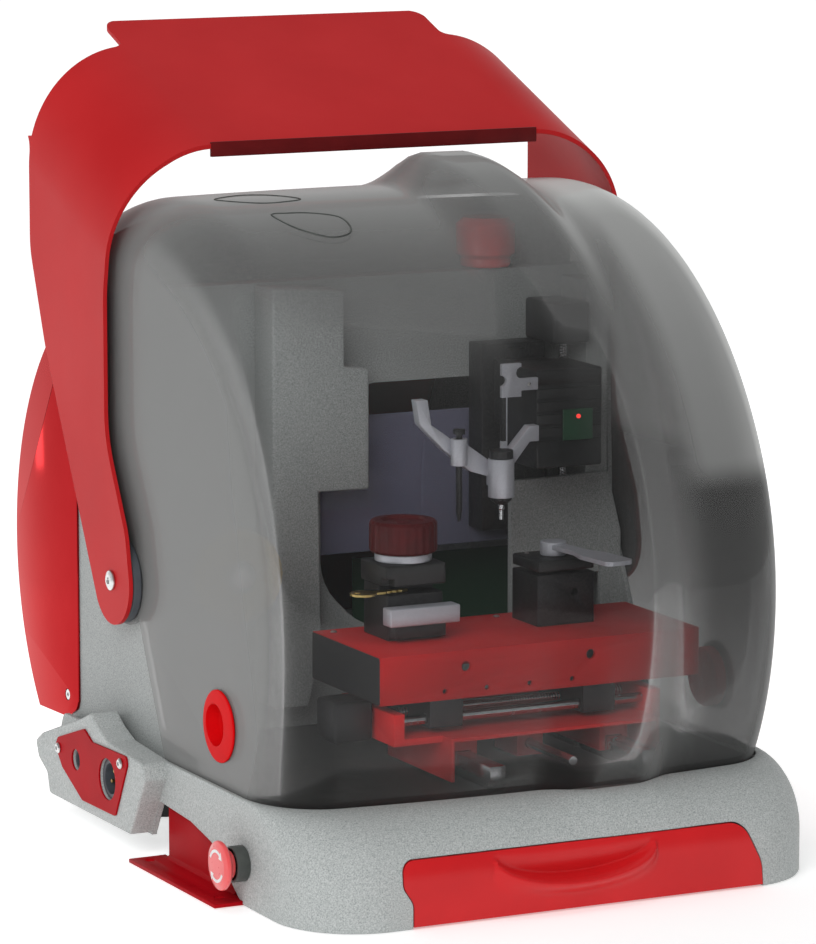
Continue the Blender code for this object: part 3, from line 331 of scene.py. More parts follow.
class Surface(Graph):
    """A procedural material on one Principled shader."""

    def __init__(self, name):
        self.material = bpy.data.materials.new(name)
        self.material.use_nodes = True
        super().__init__(self.material.node_tree)
        self.shader = self.tree.nodes["Principled BSDF"]
        self.where = self.add("ShaderNodeTexCoord").outputs["Object"]
        self.normal = None

    def stretched(self, scale):
        return self.add("ShaderNodeMapping", {"Vector": self.where, "Scale": scale}).outputs["Vector"]

    def noise(self, scale, detail=3.0, roughness=0.55, vector=None):
        settings = {"Vector": vector or self.where, "Scale": scale, "Detail": detail, "Roughness": roughness}
        return self.add("ShaderNodeTexNoise", settings).outputs["Fac"]

    def cells(self, scale):
        return self.add("ShaderNodeTexVoronoi", {"Vector": self.where, "Scale": scale}).outputs["Distance"]

    def ramp(self, source, stops):
        node = self.add("ShaderNodeValToRGB", {"Fac": source})
        elements = node.color_ramp.elements
        while len(elements) < len(stops):
            elements.new(0.5)
        for element, (at, colour) in zip(elements, stops):
            element.position = at
            element.color = (*colour, 1.0) if isinstance(colour, tuple) else (colour, colour, colour, 1.0)
        return node.outputs["Color"]

    def scaled(self, colour, factor):
        node = self.add("ShaderNodeVectorMath", {0: colour, "Scale": factor}, operation="SCALE")
        return node.outputs["Vector"]

    def blend(self, fac, a, b):
        return self.add("ShaderNodeMix", {0: fac, 6: a, 7: b}, data_type="RGBA").outputs[2]

    def mixed(self, fac, first, second):
        """The second shader over the first."""
        return self.add("ShaderNodeMixShader", {0: fac, 1: first.outputs[0], 2: second.outputs[0]})

    def edge(self, radius):
        self.normal = self.add("ShaderNodeBevel", {"Radius": radius}, samples=4).outputs["Normal"]

    def bump(self, height, strength, distance):
        node = self.add("ShaderNodeBump", {"Height": height, "Strength": strength, "Distance": distance})
        if self.normal is not None:
            self.put(node.inputs["Normal"], self.normal)
        self.normal = node.outputs["Normal"]

    def done(self, colour, roughness, **fixed):
        self.put(self.shader.inputs["Base Color"], colour)
        self.put(self.shader.inputs["Roughness"], roughness)
        for key, value in fixed.items():
            self.put(self.shader.inputs[key.replace("_", " ")], value)
        self.put(self.shader.inputs["Normal"], self.normal)
        return self.material


def coloured(name, dark, light, rough, scale, grain=900.0, strength=0.08, edge=0.0006, **fixed):
    """Paint or moulded plastic: slow colour drift, uneven roughness and a fine grain."""
    s = Surface(name)
    if edge:
        s.edge(edge)
    s.bump(s.noise(grain, 2.0), strength, 0.0003)
    colour = s.ramp(s.noise(scale, 4.0), [(0.30, dark), (0.70, light)])
    return s.done(colour, s.level(s.noise(scale * 2.3, 3.0), *rough), **fixed)


def make_speckled(name, share=1.0, painted_deck_shade=False):
    """Cast-look moulded plastic with fine light and dark granules; the deck under the hood can get painted
    shade.
    """
    s = Surface(name)
    s.edge(0.0012)
    grain = s.noise(820.0, 3.0, 0.75)
    stops = [(0.30, (0.228, 0.250, 0.246)), (0.50, (0.402, 0.425, 0.420)), (0.72, (0.580, 0.598, 0.590))]
    base = s.ramp(grain, [(at, tuple(share * c for c in colour)) for at, colour in stops])
    dots = s.ramp(s.cells(520.0), [(0.10, 1.0), (0.22, 0.0)])
    colour = s.blend(s.level(dots, 0.0, 0.28), base, (0.15, 0.165, 0.165))
    # painted shade: the deck floor under the hood, in a thin band at the deck's top, is coloured near black
    # for the shadow the hood casts there
    if painted_deck_shade:
        x, y, z = s.axes(s.where)
        deck_shade_mask = s.ranged(s.maths("ABSOLUTE", x), 0.2175, 0.2180, 1.0, 0.0)
        for limit in (s.ranged(y, -0.2350, -0.2345, 0.0, 1.0),
                      s.ranged(z, DECK_TOP - 0.0012, DECK_TOP - 0.0008, 0.0, 1.0),
                      s.ranged(z, DECK_TOP + 0.0006, DECK_TOP + 0.0009, 1.0, 0.0)):
            deck_shade_mask = s.maths("MULTIPLY", deck_shade_mask, limit)
        colour = s.blend(deck_shade_mask, colour, (0.022, 0.023, 0.023))
    s.bump(grain, 0.22, 0.0006)
    return s.done(colour, s.level(s.noise(60.0), 0.50, 0.66), Specular_IOR_Level=0.35)


def make_smoked(name, clear_tint, low, high, haze_low, haze_high, gloss, shoulder=False):
    """Smoked clear moulding: mostly clear when looked at squarely, hazier and lighter at a slant, and
    glossy. The shoulder, the hood's right side, is less clear, with painted shade low and a painted
    reflection above."""
    s = Surface(name)
    s.bump(s.noise(14.0, 2.0), 0.04, 0.002)
    facing = s.add("ShaderNodeLayerWeight", {"Blend": 0.5}).outputs["Facing"]
    dull = tuple(0.90 * c for c in haze_low)
    haze = s.blend(facing, s.ramp(s.noise(9.0, 3.0), [(0.30, dull), (0.70, haze_low)]), haze_high)
    opacity = s.level(s.maths("POWER", facing, 2.2), low, high)
    if shoulder:
        # painted light on the right shoulder: the haze is less clear there, darker below about z 0.32 as
        # painted shade and lighter above as a painted reflection of a softbox
        x, _, z = s.axes(s.where)
        right = s.ranged(x, 0.105, 0.150, 0.0, 1.0)
        haze = s.blend(right, haze, s.scaled(haze, s.ranged(z, 0.312, 0.340, 0.50, 1.95)))
        painted_shoulder_opacity = s.maths("MULTIPLY", right, s.ranged(z, 0.100, 0.300, 0.50, 0.70))
        opacity = s.maths("MAXIMUM", opacity, painted_shoulder_opacity)
    s.done(haze, s.level(s.noise(70.0, 3.0), 0.30, 0.38), Specular_IOR_Level=0.0)
    clear = s.add("ShaderNodeBsdfTransparent", {"Color": clear_tint})
    mirror = s.add("ShaderNodeBsdfGlossy", {"Roughness": 0.06, "Normal": s.normal})
    fresnel = s.add("ShaderNodeFresnel", {"IOR": 1.45}).outputs["Fac"]
    coat = s.mixed(s.level(fresnel, 0.0, gloss), s.mixed(opacity, clear, s.shader), mirror)
    s.put(s.tree.nodes["Material Output"].inputs["Surface"], coat.outputs["Shader"])
    return s.material


def make_metal(name, dark, light, rough, stretch=(1, 1, 1), grain=700.0, metallic=1.0):
    s = Surface(name)
    s.edge(0.0005)
    streak = s.noise(grain, 4.0, 0.6, s.stretched(stretch))
    s.bump(streak, 0.10, 0.0002)
    colour = s.ramp(streak, [(0.25, dark), (0.75, light)])
    return s.done(colour, s.level(s.noise(90.0), *rough), Metallic=metallic)


def make_bristle():
    """Brass wire packed side by side: fine strokes, and a few dark gaps that are painted shade between wires.
    """
    s = Surface("brass_bristle")
    wires = s.noise(1500.0, 4.0, 0.7)
    s.bump(wires, 0.7, 0.0010)
    # the darkest stop is painted shade in the gaps between wires; the others are the brass's own tone
    stops = [(0.30, (0.16, 0.11, 0.03)), (0.50, (0.52, 0.40, 0.13)), (0.75, (0.83, 0.70, 0.34))]
    return s.done(s.ramp(wires, stops), s.level(s.noise(80.0), 0.32, 0.5), Metallic=0.75)


def make_circuit():
    s = Surface("circuit_board")
    s.edge(0.0003)
    tracks = s.add("ShaderNodeTexBrick", {
        "Vector": s.where, "Scale": 150.0, "Mortar Size": 0.08, "Color1": (0.005, 0.024, 0.011),
        "Color2": (0.008, 0.036, 0.016), "Mortar": (0.016, 0.060, 0.030)})
    s.bump(tracks.outputs["Fac"], 0.2, 0.0002)
    return s.done(tracks.outputs["Color"], s.level(s.noise(200.0), 0.3, 0.45))


def make_signal():
    s = Surface("signal_red")
    s.bump(s.noise(300.0), 0.05, 0.0003)
    colour = (0.85, 0.05, 0.04)
    return s.done(s.ramp(s.noise(50.0), [(0.3, tuple(0.85 * c for c in colour)), (0.7, colour)]), 0.25,
                  Emission_Color=colour, Emission_Strength=1.2)


def make_floor_material():
    """Pale floor with a faint glow that fades out in front of the machine."""
    s = Surface("floor_pale")
    s.bump(s.noise(60.0, 2.0), 0.02, 0.001)
    _, y, _ = s.axes(s.where)
    colour = s.ramp(s.noise(3.0), [(0.3, (0.90, 0.90, 0.90)), (0.7, (0.92, 0.92, 0.92))])
    return s.done(colour, 0.8, Specular_IOR_Level=0.1, Emission_Color=(1.0, 1.0, 1.0),
                  Emission_Strength=s.ranged(y, -1.6, -0.2, 0.20, 0.72))


M = {
    # the plinth plastic, with painted shade on the deck floor under the hood
    "plinth": make_speckled("plinth_plastic", painted_deck_shade=True),
    # the plinth's plastic at 0.8 brightness: the darkening is painted shade for the rear body and the left
    # pillar under the hood
    "housing": make_speckled("painted_shade_housing_plastic", 0.80),
    # the hood plastic; shoulder=True adds the painted reflection and shade on its right side
    "smoked": make_smoked("smoked_hood", (0.96, 0.96, 0.96), 0.03, 2.05, (0.080, 0.081, 0.080),
        (0.33, 0.335, 0.33), 0.38, shoulder=True),
    "guard": make_smoked("guard_tint", (0.90, 0.90, 0.97), 0.55, 0.90, (0.20, 0.20, 0.29),
        (0.30, 0.30, 0.38), 0.50),
    "handle": coloured("handle_paint", (0.440, 0.012, 0.014), (0.500, 0.018, 0.020), (0.42, 0.52),
        scale=7.0, grain=1300.0, strength=0.10, Specular_IOR_Level=0.10),
    # painted shade: the handle's red paint made near black for the strap's bent-down lip, which faces down
    # into shade
    "shade": coloured("painted_shade_lip", (0.095, 0.004, 0.005), (0.130, 0.006, 0.007), (0.45, 0.55),
        scale=30.0, Specular_IOR_Level=0.15),
    "gloss": coloured("gloss_red", (0.345, 0.012, 0.015), (0.385, 0.017, 0.020), (0.07, 0.11), scale=12.0,
        grain=500.0, strength=0.02, edge=0, Metallic=1.0, Specular_Tint=(1.0, 0.58, 0.58)),
    "cup": coloured("cup_red", (0.560, 0.002, 0.004), (0.640, 0.004, 0.006), (0.34, 0.44), scale=30.0,
        grain=500.0, strength=0.03, edge=0.0008, Specular_IOR_Level=0.03),
    "drawer": coloured("drawer_red", (0.530, 0.008, 0.011), (0.610, 0.012, 0.015), (0.26, 0.34),
        scale=12.0, grain=700.0, strength=0.03, edge=0.0008, Specular_IOR_Level=0.32),
    "sheet": coloured("sheet_red", (0.800, 0.010, 0.012), (0.900, 0.016, 0.018), (0.38, 0.50), scale=18.0,
        grain=1500.0, strength=0.10, edge=0.0007, Specular_IOR_Level=0.15),
    "table": coloured("table_red", (0.460, 0.006, 0.008), (0.560, 0.010, 0.012), (0.38, 0.50), scale=18.0,
        grain=1500.0, strength=0.10, edge=0.0007, Specular_IOR_Level=0.10),
    "rail": coloured("rail_red", (0.320, 0.002, 0.006), (0.400, 0.004, 0.009), (0.36, 0.46), scale=15.0,
        grain=1500.0, strength=0.10, edge=0.0007, Specular_IOR_Level=0.04),
    "button": coloured("button_red", (0.740, 0.070, 0.075), (0.800, 0.095, 0.100), (0.24, 0.34),
        scale=60.0, strength=0.05, Coat_Weight=0.4, Coat_Roughness=0.15),
    "white": coloured("white_mark", (0.66, 0.66, 0.66), (0.80, 0.80, 0.80), (0.35, 0.5), scale=200.0,
        edge=0),
    "disc": coloured("dark_disc", (0.050, 0.056, 0.066), (0.072, 0.080, 0.092), (0.36, 0.48), scale=50.0),
    "black": coloured("black_plastic", (0.010, 0.0105, 0.011), (0.022, 0.023, 0.024), (0.38, 0.52),
        scale=80.0, grain=1100.0, strength=0.16),
    "collar": coloured("collar_grey", (0.040, 0.045, 0.042), (0.070, 0.078, 0.072), (0.38, 0.5),
        scale=80.0, grain=1100.0, strength=0.14),
    "dark_steel": make_metal("dark_steel", (0.022, 0.022, 0.024), (0.065, 0.065, 0.068), (0.34, 0.5),
        metallic=0.7),
    "steel": make_metal("ground_steel", (0.48, 0.49, 0.51), (0.68, 0.69, 0.71), (0.18, 0.32),
        (1, 1, 0.08)),
    "rod": make_metal("ground_rod", (0.50, 0.51, 0.53), (0.70, 0.71, 0.73), (0.12, 0.24), (0.1, 0.1, 1)),
    "aluminium": make_metal("blasted_aluminium", (0.46, 0.47, 0.52), (0.58, 0.59, 0.64), (0.34, 0.48),
        metallic=0.45),
    "brass": make_metal("plain_brass", (0.46, 0.33, 0.10), (0.72, 0.56, 0.24), (0.24, 0.38)),
    "bristle": make_bristle(),
    "knob": coloured("knob_red", (0.050, 0.002, 0.003), (0.085, 0.004, 0.006), (0.34, 0.46), scale=90.0,
        Specular_IOR_Level=0.25),
    "board": make_circuit(),
    "rubber": coloured("rubber_black", (0.012, 0.012, 0.012), (0.026, 0.026, 0.026), (0.70, 0.86),
        scale=90.0, grain=700.0, strength=0.25),
    "zinc": make_metal("zinc_plate", (0.55, 0.56, 0.56), (0.76, 0.77, 0.76), (0.22, 0.36), grain=300.0),
    "lamp": coloured("lamp_red", (0.60, 0.012, 0.014), (0.76, 0.022, 0.024), (0.20, 0.30), scale=40.0,
        grain=400.0, strength=0.04, Coat_Weight=0.8, Coat_Roughness=0.08),
    "signal": make_signal(),
    "floor": make_floor_material(),
}


# ---------------- hood
def crest_height(angle):
    if angle < CREST_LOW_ANGLE:
        rise = CREST_RISE + 0.0055 * (CREST_LOW_ANGLE - angle) / 52
    else:
        rise = CREST_RISE + 0.0157 * ((angle - CREST_LOW_ANGLE) / 62) ** 1.3
    return rise * (1 - smooth_step((angle - CREST_TOP_ANGLE) / 14))


def topness(angle):
    return smooth_step((angle - 30) / 60)


def crest_share(x, angle):
    centre = CREST_X + TOP_CREST_SHIFT * topness(angle)
    return 1 - smooth_step((abs(x - centre) / CREST_HALF - 0.30) / 0.70)


def hood_radius(x, angle, inset):
    top = topness(angle)
    crown = HOOD_CROWN + (TOP_CROWN - HOOD_CROWN) * top
    rounding = HOOD_EDGE + (TOP_EDGE - HOOD_EDGE) * top
    radius = HOOD_RADIUS - TOP_DROP * top - crown * x * x + crest_share(x, angle) * crest_height(angle)
    tight = rounding - inset
    over = min(abs(x) - (HOOD_HALF - rounding), tight)
    if over > 0:
        radius -= tight - math.sqrt(max(tight ** 2 - over ** 2, 0.0))
    return radius - inset


def hood_point(x, angle, inset=0.0):
    radius = hood_radius(x, angle, inset)
    turn = math.radians(angle)
    return (x, HOOD_Y - radius * math.cos(turn), HOOD_Z + radius * math.sin(turn))


def hood_angle_at_height(x, z, inset=0.0):
    angle = -20.0
    for _ in range(8):
        angle = -math.degrees(math.asin((HOOD_Z - z) / hood_radius(x, angle, inset)))
    return angle


def hood_angle_at_rear(x, y, inset):
    angle = 110.0
    for _ in range(10):
        angle = math.degrees(math.acos(-(y - HOOD_Y) / hood_radius(x, angle, inset)))
    return angle


def hood_stations(half):
    flat = HOOD_HALF - HOOD_EDGE
    edge = [flat + (half - flat) * math.sin(math.radians(7.5 * i)) for i in range(13)]
    middle = [flat * (i / 27 - 1) for i in range(1, 54)]
    return [-x for x in reversed(edge)] + middle + edge


def hood_ring(x, inset, closing, first_z, last_y):
    start = hood_angle_at_height(x, first_z, inset)
    end = hood_angle_at_rear(x, last_y, inset)
    ring = [hood_point(x, start + (end - start) * i / 72, inset) for i in range(73)]
    return ring + [(x, y, z) for y, z in closing]


def make_hood():
    ear = [polar(PIVOT, HOOD_EAR, -angle) for angle in range(-20, 131, 10)]
    outer = [hood_ring(x, 0.0, ear + [(-0.008, HOOD_BOTTOM)], HOOD_BOTTOM, HOOD_REAR_Y)
             for x in hood_stations(HOOD_HALF)]
    hood = make("hood_fine", loft(outer), "smoked")
    past = [(0.26, 0.30), (0.20, 0.05), (0.00, 0.03)]
    inner = [hood_ring(x, HOOD_SKIN, past, 0.060, HOOD_REAR_Y + 0.02)
             for x in hood_stations(HOOD_HALF - HOOD_SKIN)]
    cut(hood, loft(inner))
    for side in (-1, 1):
        cut(hood, rod("X", PIVOT, PIVOT_BORE, side * 0.20, side * 0.24, 48),
            rod("X", CUP, CUP_BORE, side * 0.20, side * 0.24, 64))
    own(hood, "hood", "smoked_clear", "hood_shell")


def make_grip_marks():
    """Two thin lens-shaped ridges on top of the hood, near its left shoulder: smooth loops through points
    of (across, angle). Their dark grey is painted shade."""
    marks = ([(-0.160, 87.0), (-0.146, 88.6), (-0.128, 89.2), (-0.108, 87.4), (-0.092, 83.5), (-0.110, 82.4),
              (-0.129, 82.5), (-0.148, 84.4)],
             [(-0.135, 76.8), (-0.120, 77.0), (-0.102, 76.4), (-0.081, 74.0), (-0.083, 69.2), (-0.101, 67.8),
              (-0.117, 69.5), (-0.129, 72.4)])
    for i, mark in enumerate(marks):
        path = []
        for k in range(len(mark)):
            a, b, c, d = (Vector(mark[(k + step) % len(mark)]) for step in (-1, 0, 1, 2))
            for t in (0.0, 0.2, 0.4, 0.6, 0.8):
                bend = (a * 2 - b * 5 + c * 4 - d) * t ** 2 + (b * 3 - a - c * 3 + d) * t ** 3
                at = (b * 2 + (c - a) * t + bend) / 2
                path.append(hood_point(at.x, at.y, 0.0002))
        # the dark grey bead is painted shade along the moulded ridge, which is really clear smoked plastic
        piece(f"grip_mark_{i}", swept(path + path[:1], 0.0009, 8), "collar", "hood", "smoked_clear")


def make_cup(tag, side):
    flange, face, back = [side * x for x in (HOOD_HALF + GAP, 0.2290, 0.2145)]
    outline = [(0, back), (0.0249, back), (0.0249, flange), (0.0295, flange), (0.0295, face), (0, face)]
    cup = make("cup_" + tag, turned(eased(outline, 0.0016), "X", CUP, 72), "cup")
    pocket = [(0, side * 0.2172), (0.0150, side * 0.2172), (0.0170, side * 0.2280), (0.0185, side * 0.2400),
              (0, side * 0.2400)]
    cut(cup, turned(eased(pocket, 0.0020), "X", (CUP[0] + 0.006, CUP[1]), 64))
    own(cup, "hood", "gloss_red", "finger_cup_" + tag)


# ---------------- plinth
def rim_front(x):
    return hood_point(x, hood_angle_at_height(x, RIM_Z))[1]


def rim_outline(grow):
    half = HOOD_HALF + grow
    front = [(x * half / HOOD_HALF, rim_front(x) - grow) for x in hood_stations(HOOD_HALF)]
    left = [(-half, SKIRT_REAR - 0.012)] + [(-half, y) for y in SIDE_STATIONS]
    return left + front + [(-x, y) for x, y in reversed(left)]


def skirt_outline(inset):
    half, front_y, radius = SKIRT_HALF - inset, SKIRT_FRONT + inset, SKIRT_CORNER - inset
    front = []
    for x in hood_stations(HOOD_HALF):
        across = x * half / HOOD_HALF
        over = max(abs(across) - (half - radius), 0.0)
        front.append((across, front_y + radius - math.sqrt(max(radius ** 2 - over ** 2, 0.0))))
    left = [(-half, SKIRT_REAR - inset)] + [(-half, y) for y in SIDE_STATIONS]
    return left + front + [(-x, y) for x, y in reversed(left)]


def plinth_ring(z, share, inset):
    low, high = skirt_outline(inset), rim_outline(LEDGE_HALF - HOOD_HALF - inset)
    return [(a[0] + (b[0] - a[0]) * share, a[1] + (b[1] - a[1]) * share, z) for a, b in zip(low, high)]


def shoulder_share(z):
    t = min(max((z - SHOULDER_Z) / (RIM_Z - SHOULDER_Z), 0.0), 1.0)
    return 1 - math.sqrt(1 - t * t)


def make_pod(side):
    """Side pod with well-rounded outer edges."""
    bm = prism(rounded(POD_OUTLINE, 0.005, 4), "X", side * 0.2200, side * POD_FACE)
    outer = [e for e in bm.edges if all(abs(v.co.x - side * POD_FACE) < 1e-6 for v in e.verts)]
    round_off(bm, outer, 0.0022)
    return bm


def make_plinth():
    rises = [math.sin(math.radians(6 * i)) for i in range(16)]
    levels = [0.0, 0.0015, 0.012, 0.024] + [SHOULDER_Z + (RIM_Z - SHOULDER_Z) * rise for rise in rises]
    outer = [plinth_ring(z, shoulder_share(z), 0.0008 if z == 0 else 0.0) for z in levels]
    base = make("plinth_fine", loft(outer), "plinth")
    fuse(base, make_pod(-1), make_pod(1))
    hollow = [plinth_ring(z, shoulder_share(z), PLINTH_WALL)
              for z in (-0.01, SHOULDER_Z, 0.044, 0.050, 0.056, 0.062, 0.067, 0.072, DECK_BOTTOM)]
    cut(base, loft(hollow))
    pocket = rim_outline(0.0012)
    pocket[0] = (pocket[0][0], SKIRT_REAR + 0.03)
    pocket[-1] = (pocket[-1][0], SKIRT_REAR + 0.03)
    cut(base, prism(pocket, "Z", DECK_TOP, 0.12))
    notch = [(-0.172, -0.01), (-0.172, 0.0036), (-0.166, 0.0036), (-0.112, 0.0387), (-0.071, 0.0470),
             (-0.010, 0.0505), (0.0075, 0.0205), (0.0075, 0.0190), (0.25, 0.0190), (0.25, -0.01)]
    well = [(0.013, 0.0265), (0.172, 0.026), (0.182, 0.040), (0.199, 0.050), (0.203, 0.060), (0.150, 0.0775),
            (0.005, 0.0775), (-0.010, 0.066)]
    for side in (-1, 1):
        cut(base, prism(notch, "X", side * 0.2050, side * 0.27),
            prism(well, "X", side * 0.2150, side * (POD_FACE - 0.004)))
    cut(base, box((-0.2050, 0.1950, -0.01), (0.2050, 0.22, 0.020)), rod("X", INLET, 0.0180, -0.26, -0.24, 48),
        rod("X", SOCKET, 0.0092, -0.26, -0.24, 40), rod("X", ESTOP, 0.0112, -0.25, -0.22, 40),
        prism(drawer_outline(DRAWER_PLAY), "Y", -0.32, -0.27))
    for x in (-0.160, 0.160):
        fuse(base, rod("Z", (x, 0.150), 0.017, 0.0125, 0.078, 40))
    for left, right, web in ((-0.1560, -0.1410, -0.1560), (0.1490, 0.1740, 0.1700)):
        fuse(base, box((left, -0.262, 0.0095), (right, -0.040, 0.0137)))
        fuse(base, box((web, -0.262, 0.0095), (web + 0.004, -0.040, 0.078)))
    own(base, "base", "speckled_grey", "base_housing")


def drawer_outline(grow):
    left, right, top = DRAWER_LEFT - grow, DRAWER_RIGHT + grow, DRAWER_TOP + grow
    low = 0.0015 if grow == 0 else -0.01
    foot = left + 0.0090
    points = [(foot, low), (right, low), (right - 0.0015, 0.020), (right - 0.0190, top), (left, top),
              (left, 0.0335), (foot, 0.0200)]
    return rounded(points, {2: 0.03, 3: 0.018, 4: 0.012, 5: 0.012, 6: 0.012}, 10, corners=(2, 3, 4, 5, 6))


def shoulder_front(z):
    rim = rim_front(-0.03) - (LEDGE_HALF - HOOD_HALF)
    return SKIRT_FRONT + (rim - SKIRT_FRONT) * shoulder_share(z)


def pull_relief(x, z):
    """How far the drawer's face stands out (+) or in (-): a bowed lip under a scoop that fades upwards."""
    t = (x - PULL_X) / PULL_HALF
    if abs(t) >= 1:
        return 0.0
    sag = math.sqrt(1 - t * t)
    out = PULL_OUT * sag ** 0.8
    lip = 0.0485 - 0.0245 * sag
    over = z - lip
    if over < 0:
        foot = lip - (lip - 0.0085) * (0.55 + 0.45 * sag)
        return out * smooth_step((z - foot) / max(lip - foot, 1e-4)) ** 1.5
    if over < PULL_LIP:
        return out * (1 - (over / PULL_LIP) ** 2 * 0.35)
    sink = (over - PULL_LIP) / max(DRAWER_TOP - 0.0005 - lip, 1e-4)
    fall = smooth_step((over - PULL_LIP) / 0.0040)
    return out * 0.65 * (1 - fall) - SCOOP_IN * sag * fall * (1 - smooth_step(sink * 1.15))


def make_drawer():
    columns, heights = 150, [0.0006 * i for i in range(94)]
    left, right = DRAWER_LEFT - 0.01, DRAWER_RIGHT + 0.01
    rings = []
    for k in range(columns + 1):
        x = left + (right - left) * k / columns
        front = [(x, shoulder_front(z) - pull_relief(x, z), z) for z in heights]
        rings.append(front + [(x, DRAWER_BACK, z) for z in reversed(heights)])
    face = make("drawer_fine", loft(rings), "drawer")
    keep(face, prism(drawer_outline(0.0), "Y", -0.32, -0.27))
    finish_shading(face, 50.0)
    own(face, "drawer", "gloss_red", "drawer_front")
    refined("drawer_tray", "drawer", "black_plastic", "black")


# ---------------- side fittings
def make_screw_head(name, axis, centre, face, out, radius, body):
    """A domed screw head with a hexagon recess. The face is its seat and out its direction."""
    high = face + out * radius * 0.55
    outline = [(0, face), (radius, face), (radius * 0.97, face + out * radius * 0.25),
               (radius * 0.72, high - out * radius * 0.06), (0, high)]
    head = make(name, turned(eased(outline, radius * 0.12), axis, centre, 40), "zinc")
    cut(head, prism(hexagon(centre, radius * 0.42), axis, face + out * radius * 0.15, high + out * 0.01))
    own(head, body, "zinc")


def make_connectors():
    outline = rounded(PLATE_OUTLINE, 0.004, 8)
    plate = make("plate_fine", prism(outline, "X", PLATE_FACE, -POD_FACE - GAP), "rail")
    cut(plate, rod("X", INLET, 0.0175, -0.26, -0.24, 64), rod("X", SOCKET, 0.0090, -0.26, -0.24, 48))
    own(plate, "base", "sheet_red", "connector_plate")
    for name, centre, radius in (("power_inlet", INLET, 0.0170), ("data_socket", SOCKET, 0.0086)):
        mouth = radius * 0.75
        outline = [(0, WELL_FLOOR), (mouth, WELL_FLOOR), (mouth, -0.2505), (radius, -0.2505),
                   (radius, -0.2200), (0, -0.2200)]
        shell = turned(eased(outline, 0.0006), "X", centre, 64)
        piece(name + "_fine", shell, "disc", "base", "dark_blue_grey", name)
    for i in range(3):
        pin = rod("X", polar(INLET, 0.0062, 90 + 120 * i), 0.0016, -0.2475, WELL_FLOOR - 0.0001, 24)
        piece(f"inlet_pin_{i}", pin, "brass", "base", "brass")
    for i in range(5):
        pin = rod("X", polar(SOCKET, 0.0036, 72 * i), 0.0006, -0.2460, WELL_FLOOR - 0.0001, 12)
        piece(f"socket_pin_{i}", pin, "brass", "base", "brass")
    for end, centre in (("rear", (0.155, 0.065)), ("front", (0.022, 0.078))):
        make_screw_head("plate_screw_" + end, "X", centre, PLATE_FACE - 0.00005, -1, 0.0046, "base")


def make_estop():
    outline = [(0.0068, -0.2120), (0.0108, -0.2120), (0.0108, -0.2328), (0.0145, -0.2328), (0.0145, -0.2440),
               (0.0126, -0.2440), (0.0126, -0.2380), (0.0068, -0.2380)]
    collar = turned(rounded(outline, 0.0007, 3), "X", ESTOP, 64, ring=True)
    piece("stop_collar_fine", collar, "collar", "base", "black_plastic", "estop_collar")
    outline = [(0, -0.2440), (0.0115, -0.2440), (0.0115, -0.2485), (0.0180, -0.2500), (0.0200, -0.2520),
               (0.0196, -0.2545), (0.0150, -0.2562), (0, STOP_FACE)]
    head = turned(eased(outline, 0.0012, 5), "X", ESTOP, 96)
    piece("stop_head_fine", head, "button", "stop_head", "button_red", "estop_head")
    raised = STOP_FACE - 0.00008
    for i, first in enumerate((25, 205)):
        band = [polar(ESTOP, 0.0132, first + 4 * k) for k in range(26)]
        band += [polar(ESTOP, 0.0108, first + 4 * k) for k in range(25, -1, -1)]
        piece(f"stop_mark_{i}", prism(band, "X", raised, -0.2560), "white", "stop_head", "button_red")
        tip = [polar(ESTOP, radius, first + turn)
               for radius, turn in ((0.0155, 100), (0.0085, 100), (0.0120, 124))]
        piece(f"stop_arrow_{i}", prism(tip, "X", raised, -0.2558), "white", "stop_head", "button_red")


def make_pivot(tag, side):
    arm_in, arm_out = ARM_IN - GAP, ARM_OUT + GAP
    disc = [(0.0048, 0.2208), (0.0150, 0.2208), (0.0150, 0.2269), (0.0340, 0.2269), (0.0360, 0.2285),
            (0.0360, 0.2345), (0.0340, arm_in), (0.0048, arm_in)]
    outline = rounded([(radius, side * x) for radius, x in disc], 0.0010, 3)
    piece("pivot_disc_fine_" + tag, turned(outline, "X", PIVOT, 96, ring=True), "disc", "base",
          "dark_blue_grey", "pivot_disc_" + tag)
    head = [(0, 0.2140), (0.0045, 0.2140), (0.0045, arm_out), (0.0085, arm_out), (0.0082, 0.2420),
            (0.0055, 0.2432), (0.0030, 0.2434), (0.0026, 0.2415), (0, 0.2415)]
    outline = eased([(radius, side * x) for radius, x in head], 0.0005, 3)
    piece("pivot_screw_fine_" + tag, turned(outline, "X", PIVOT, 48), "zinc", "base", "zinc",
          "pivot_screw_" + tag)


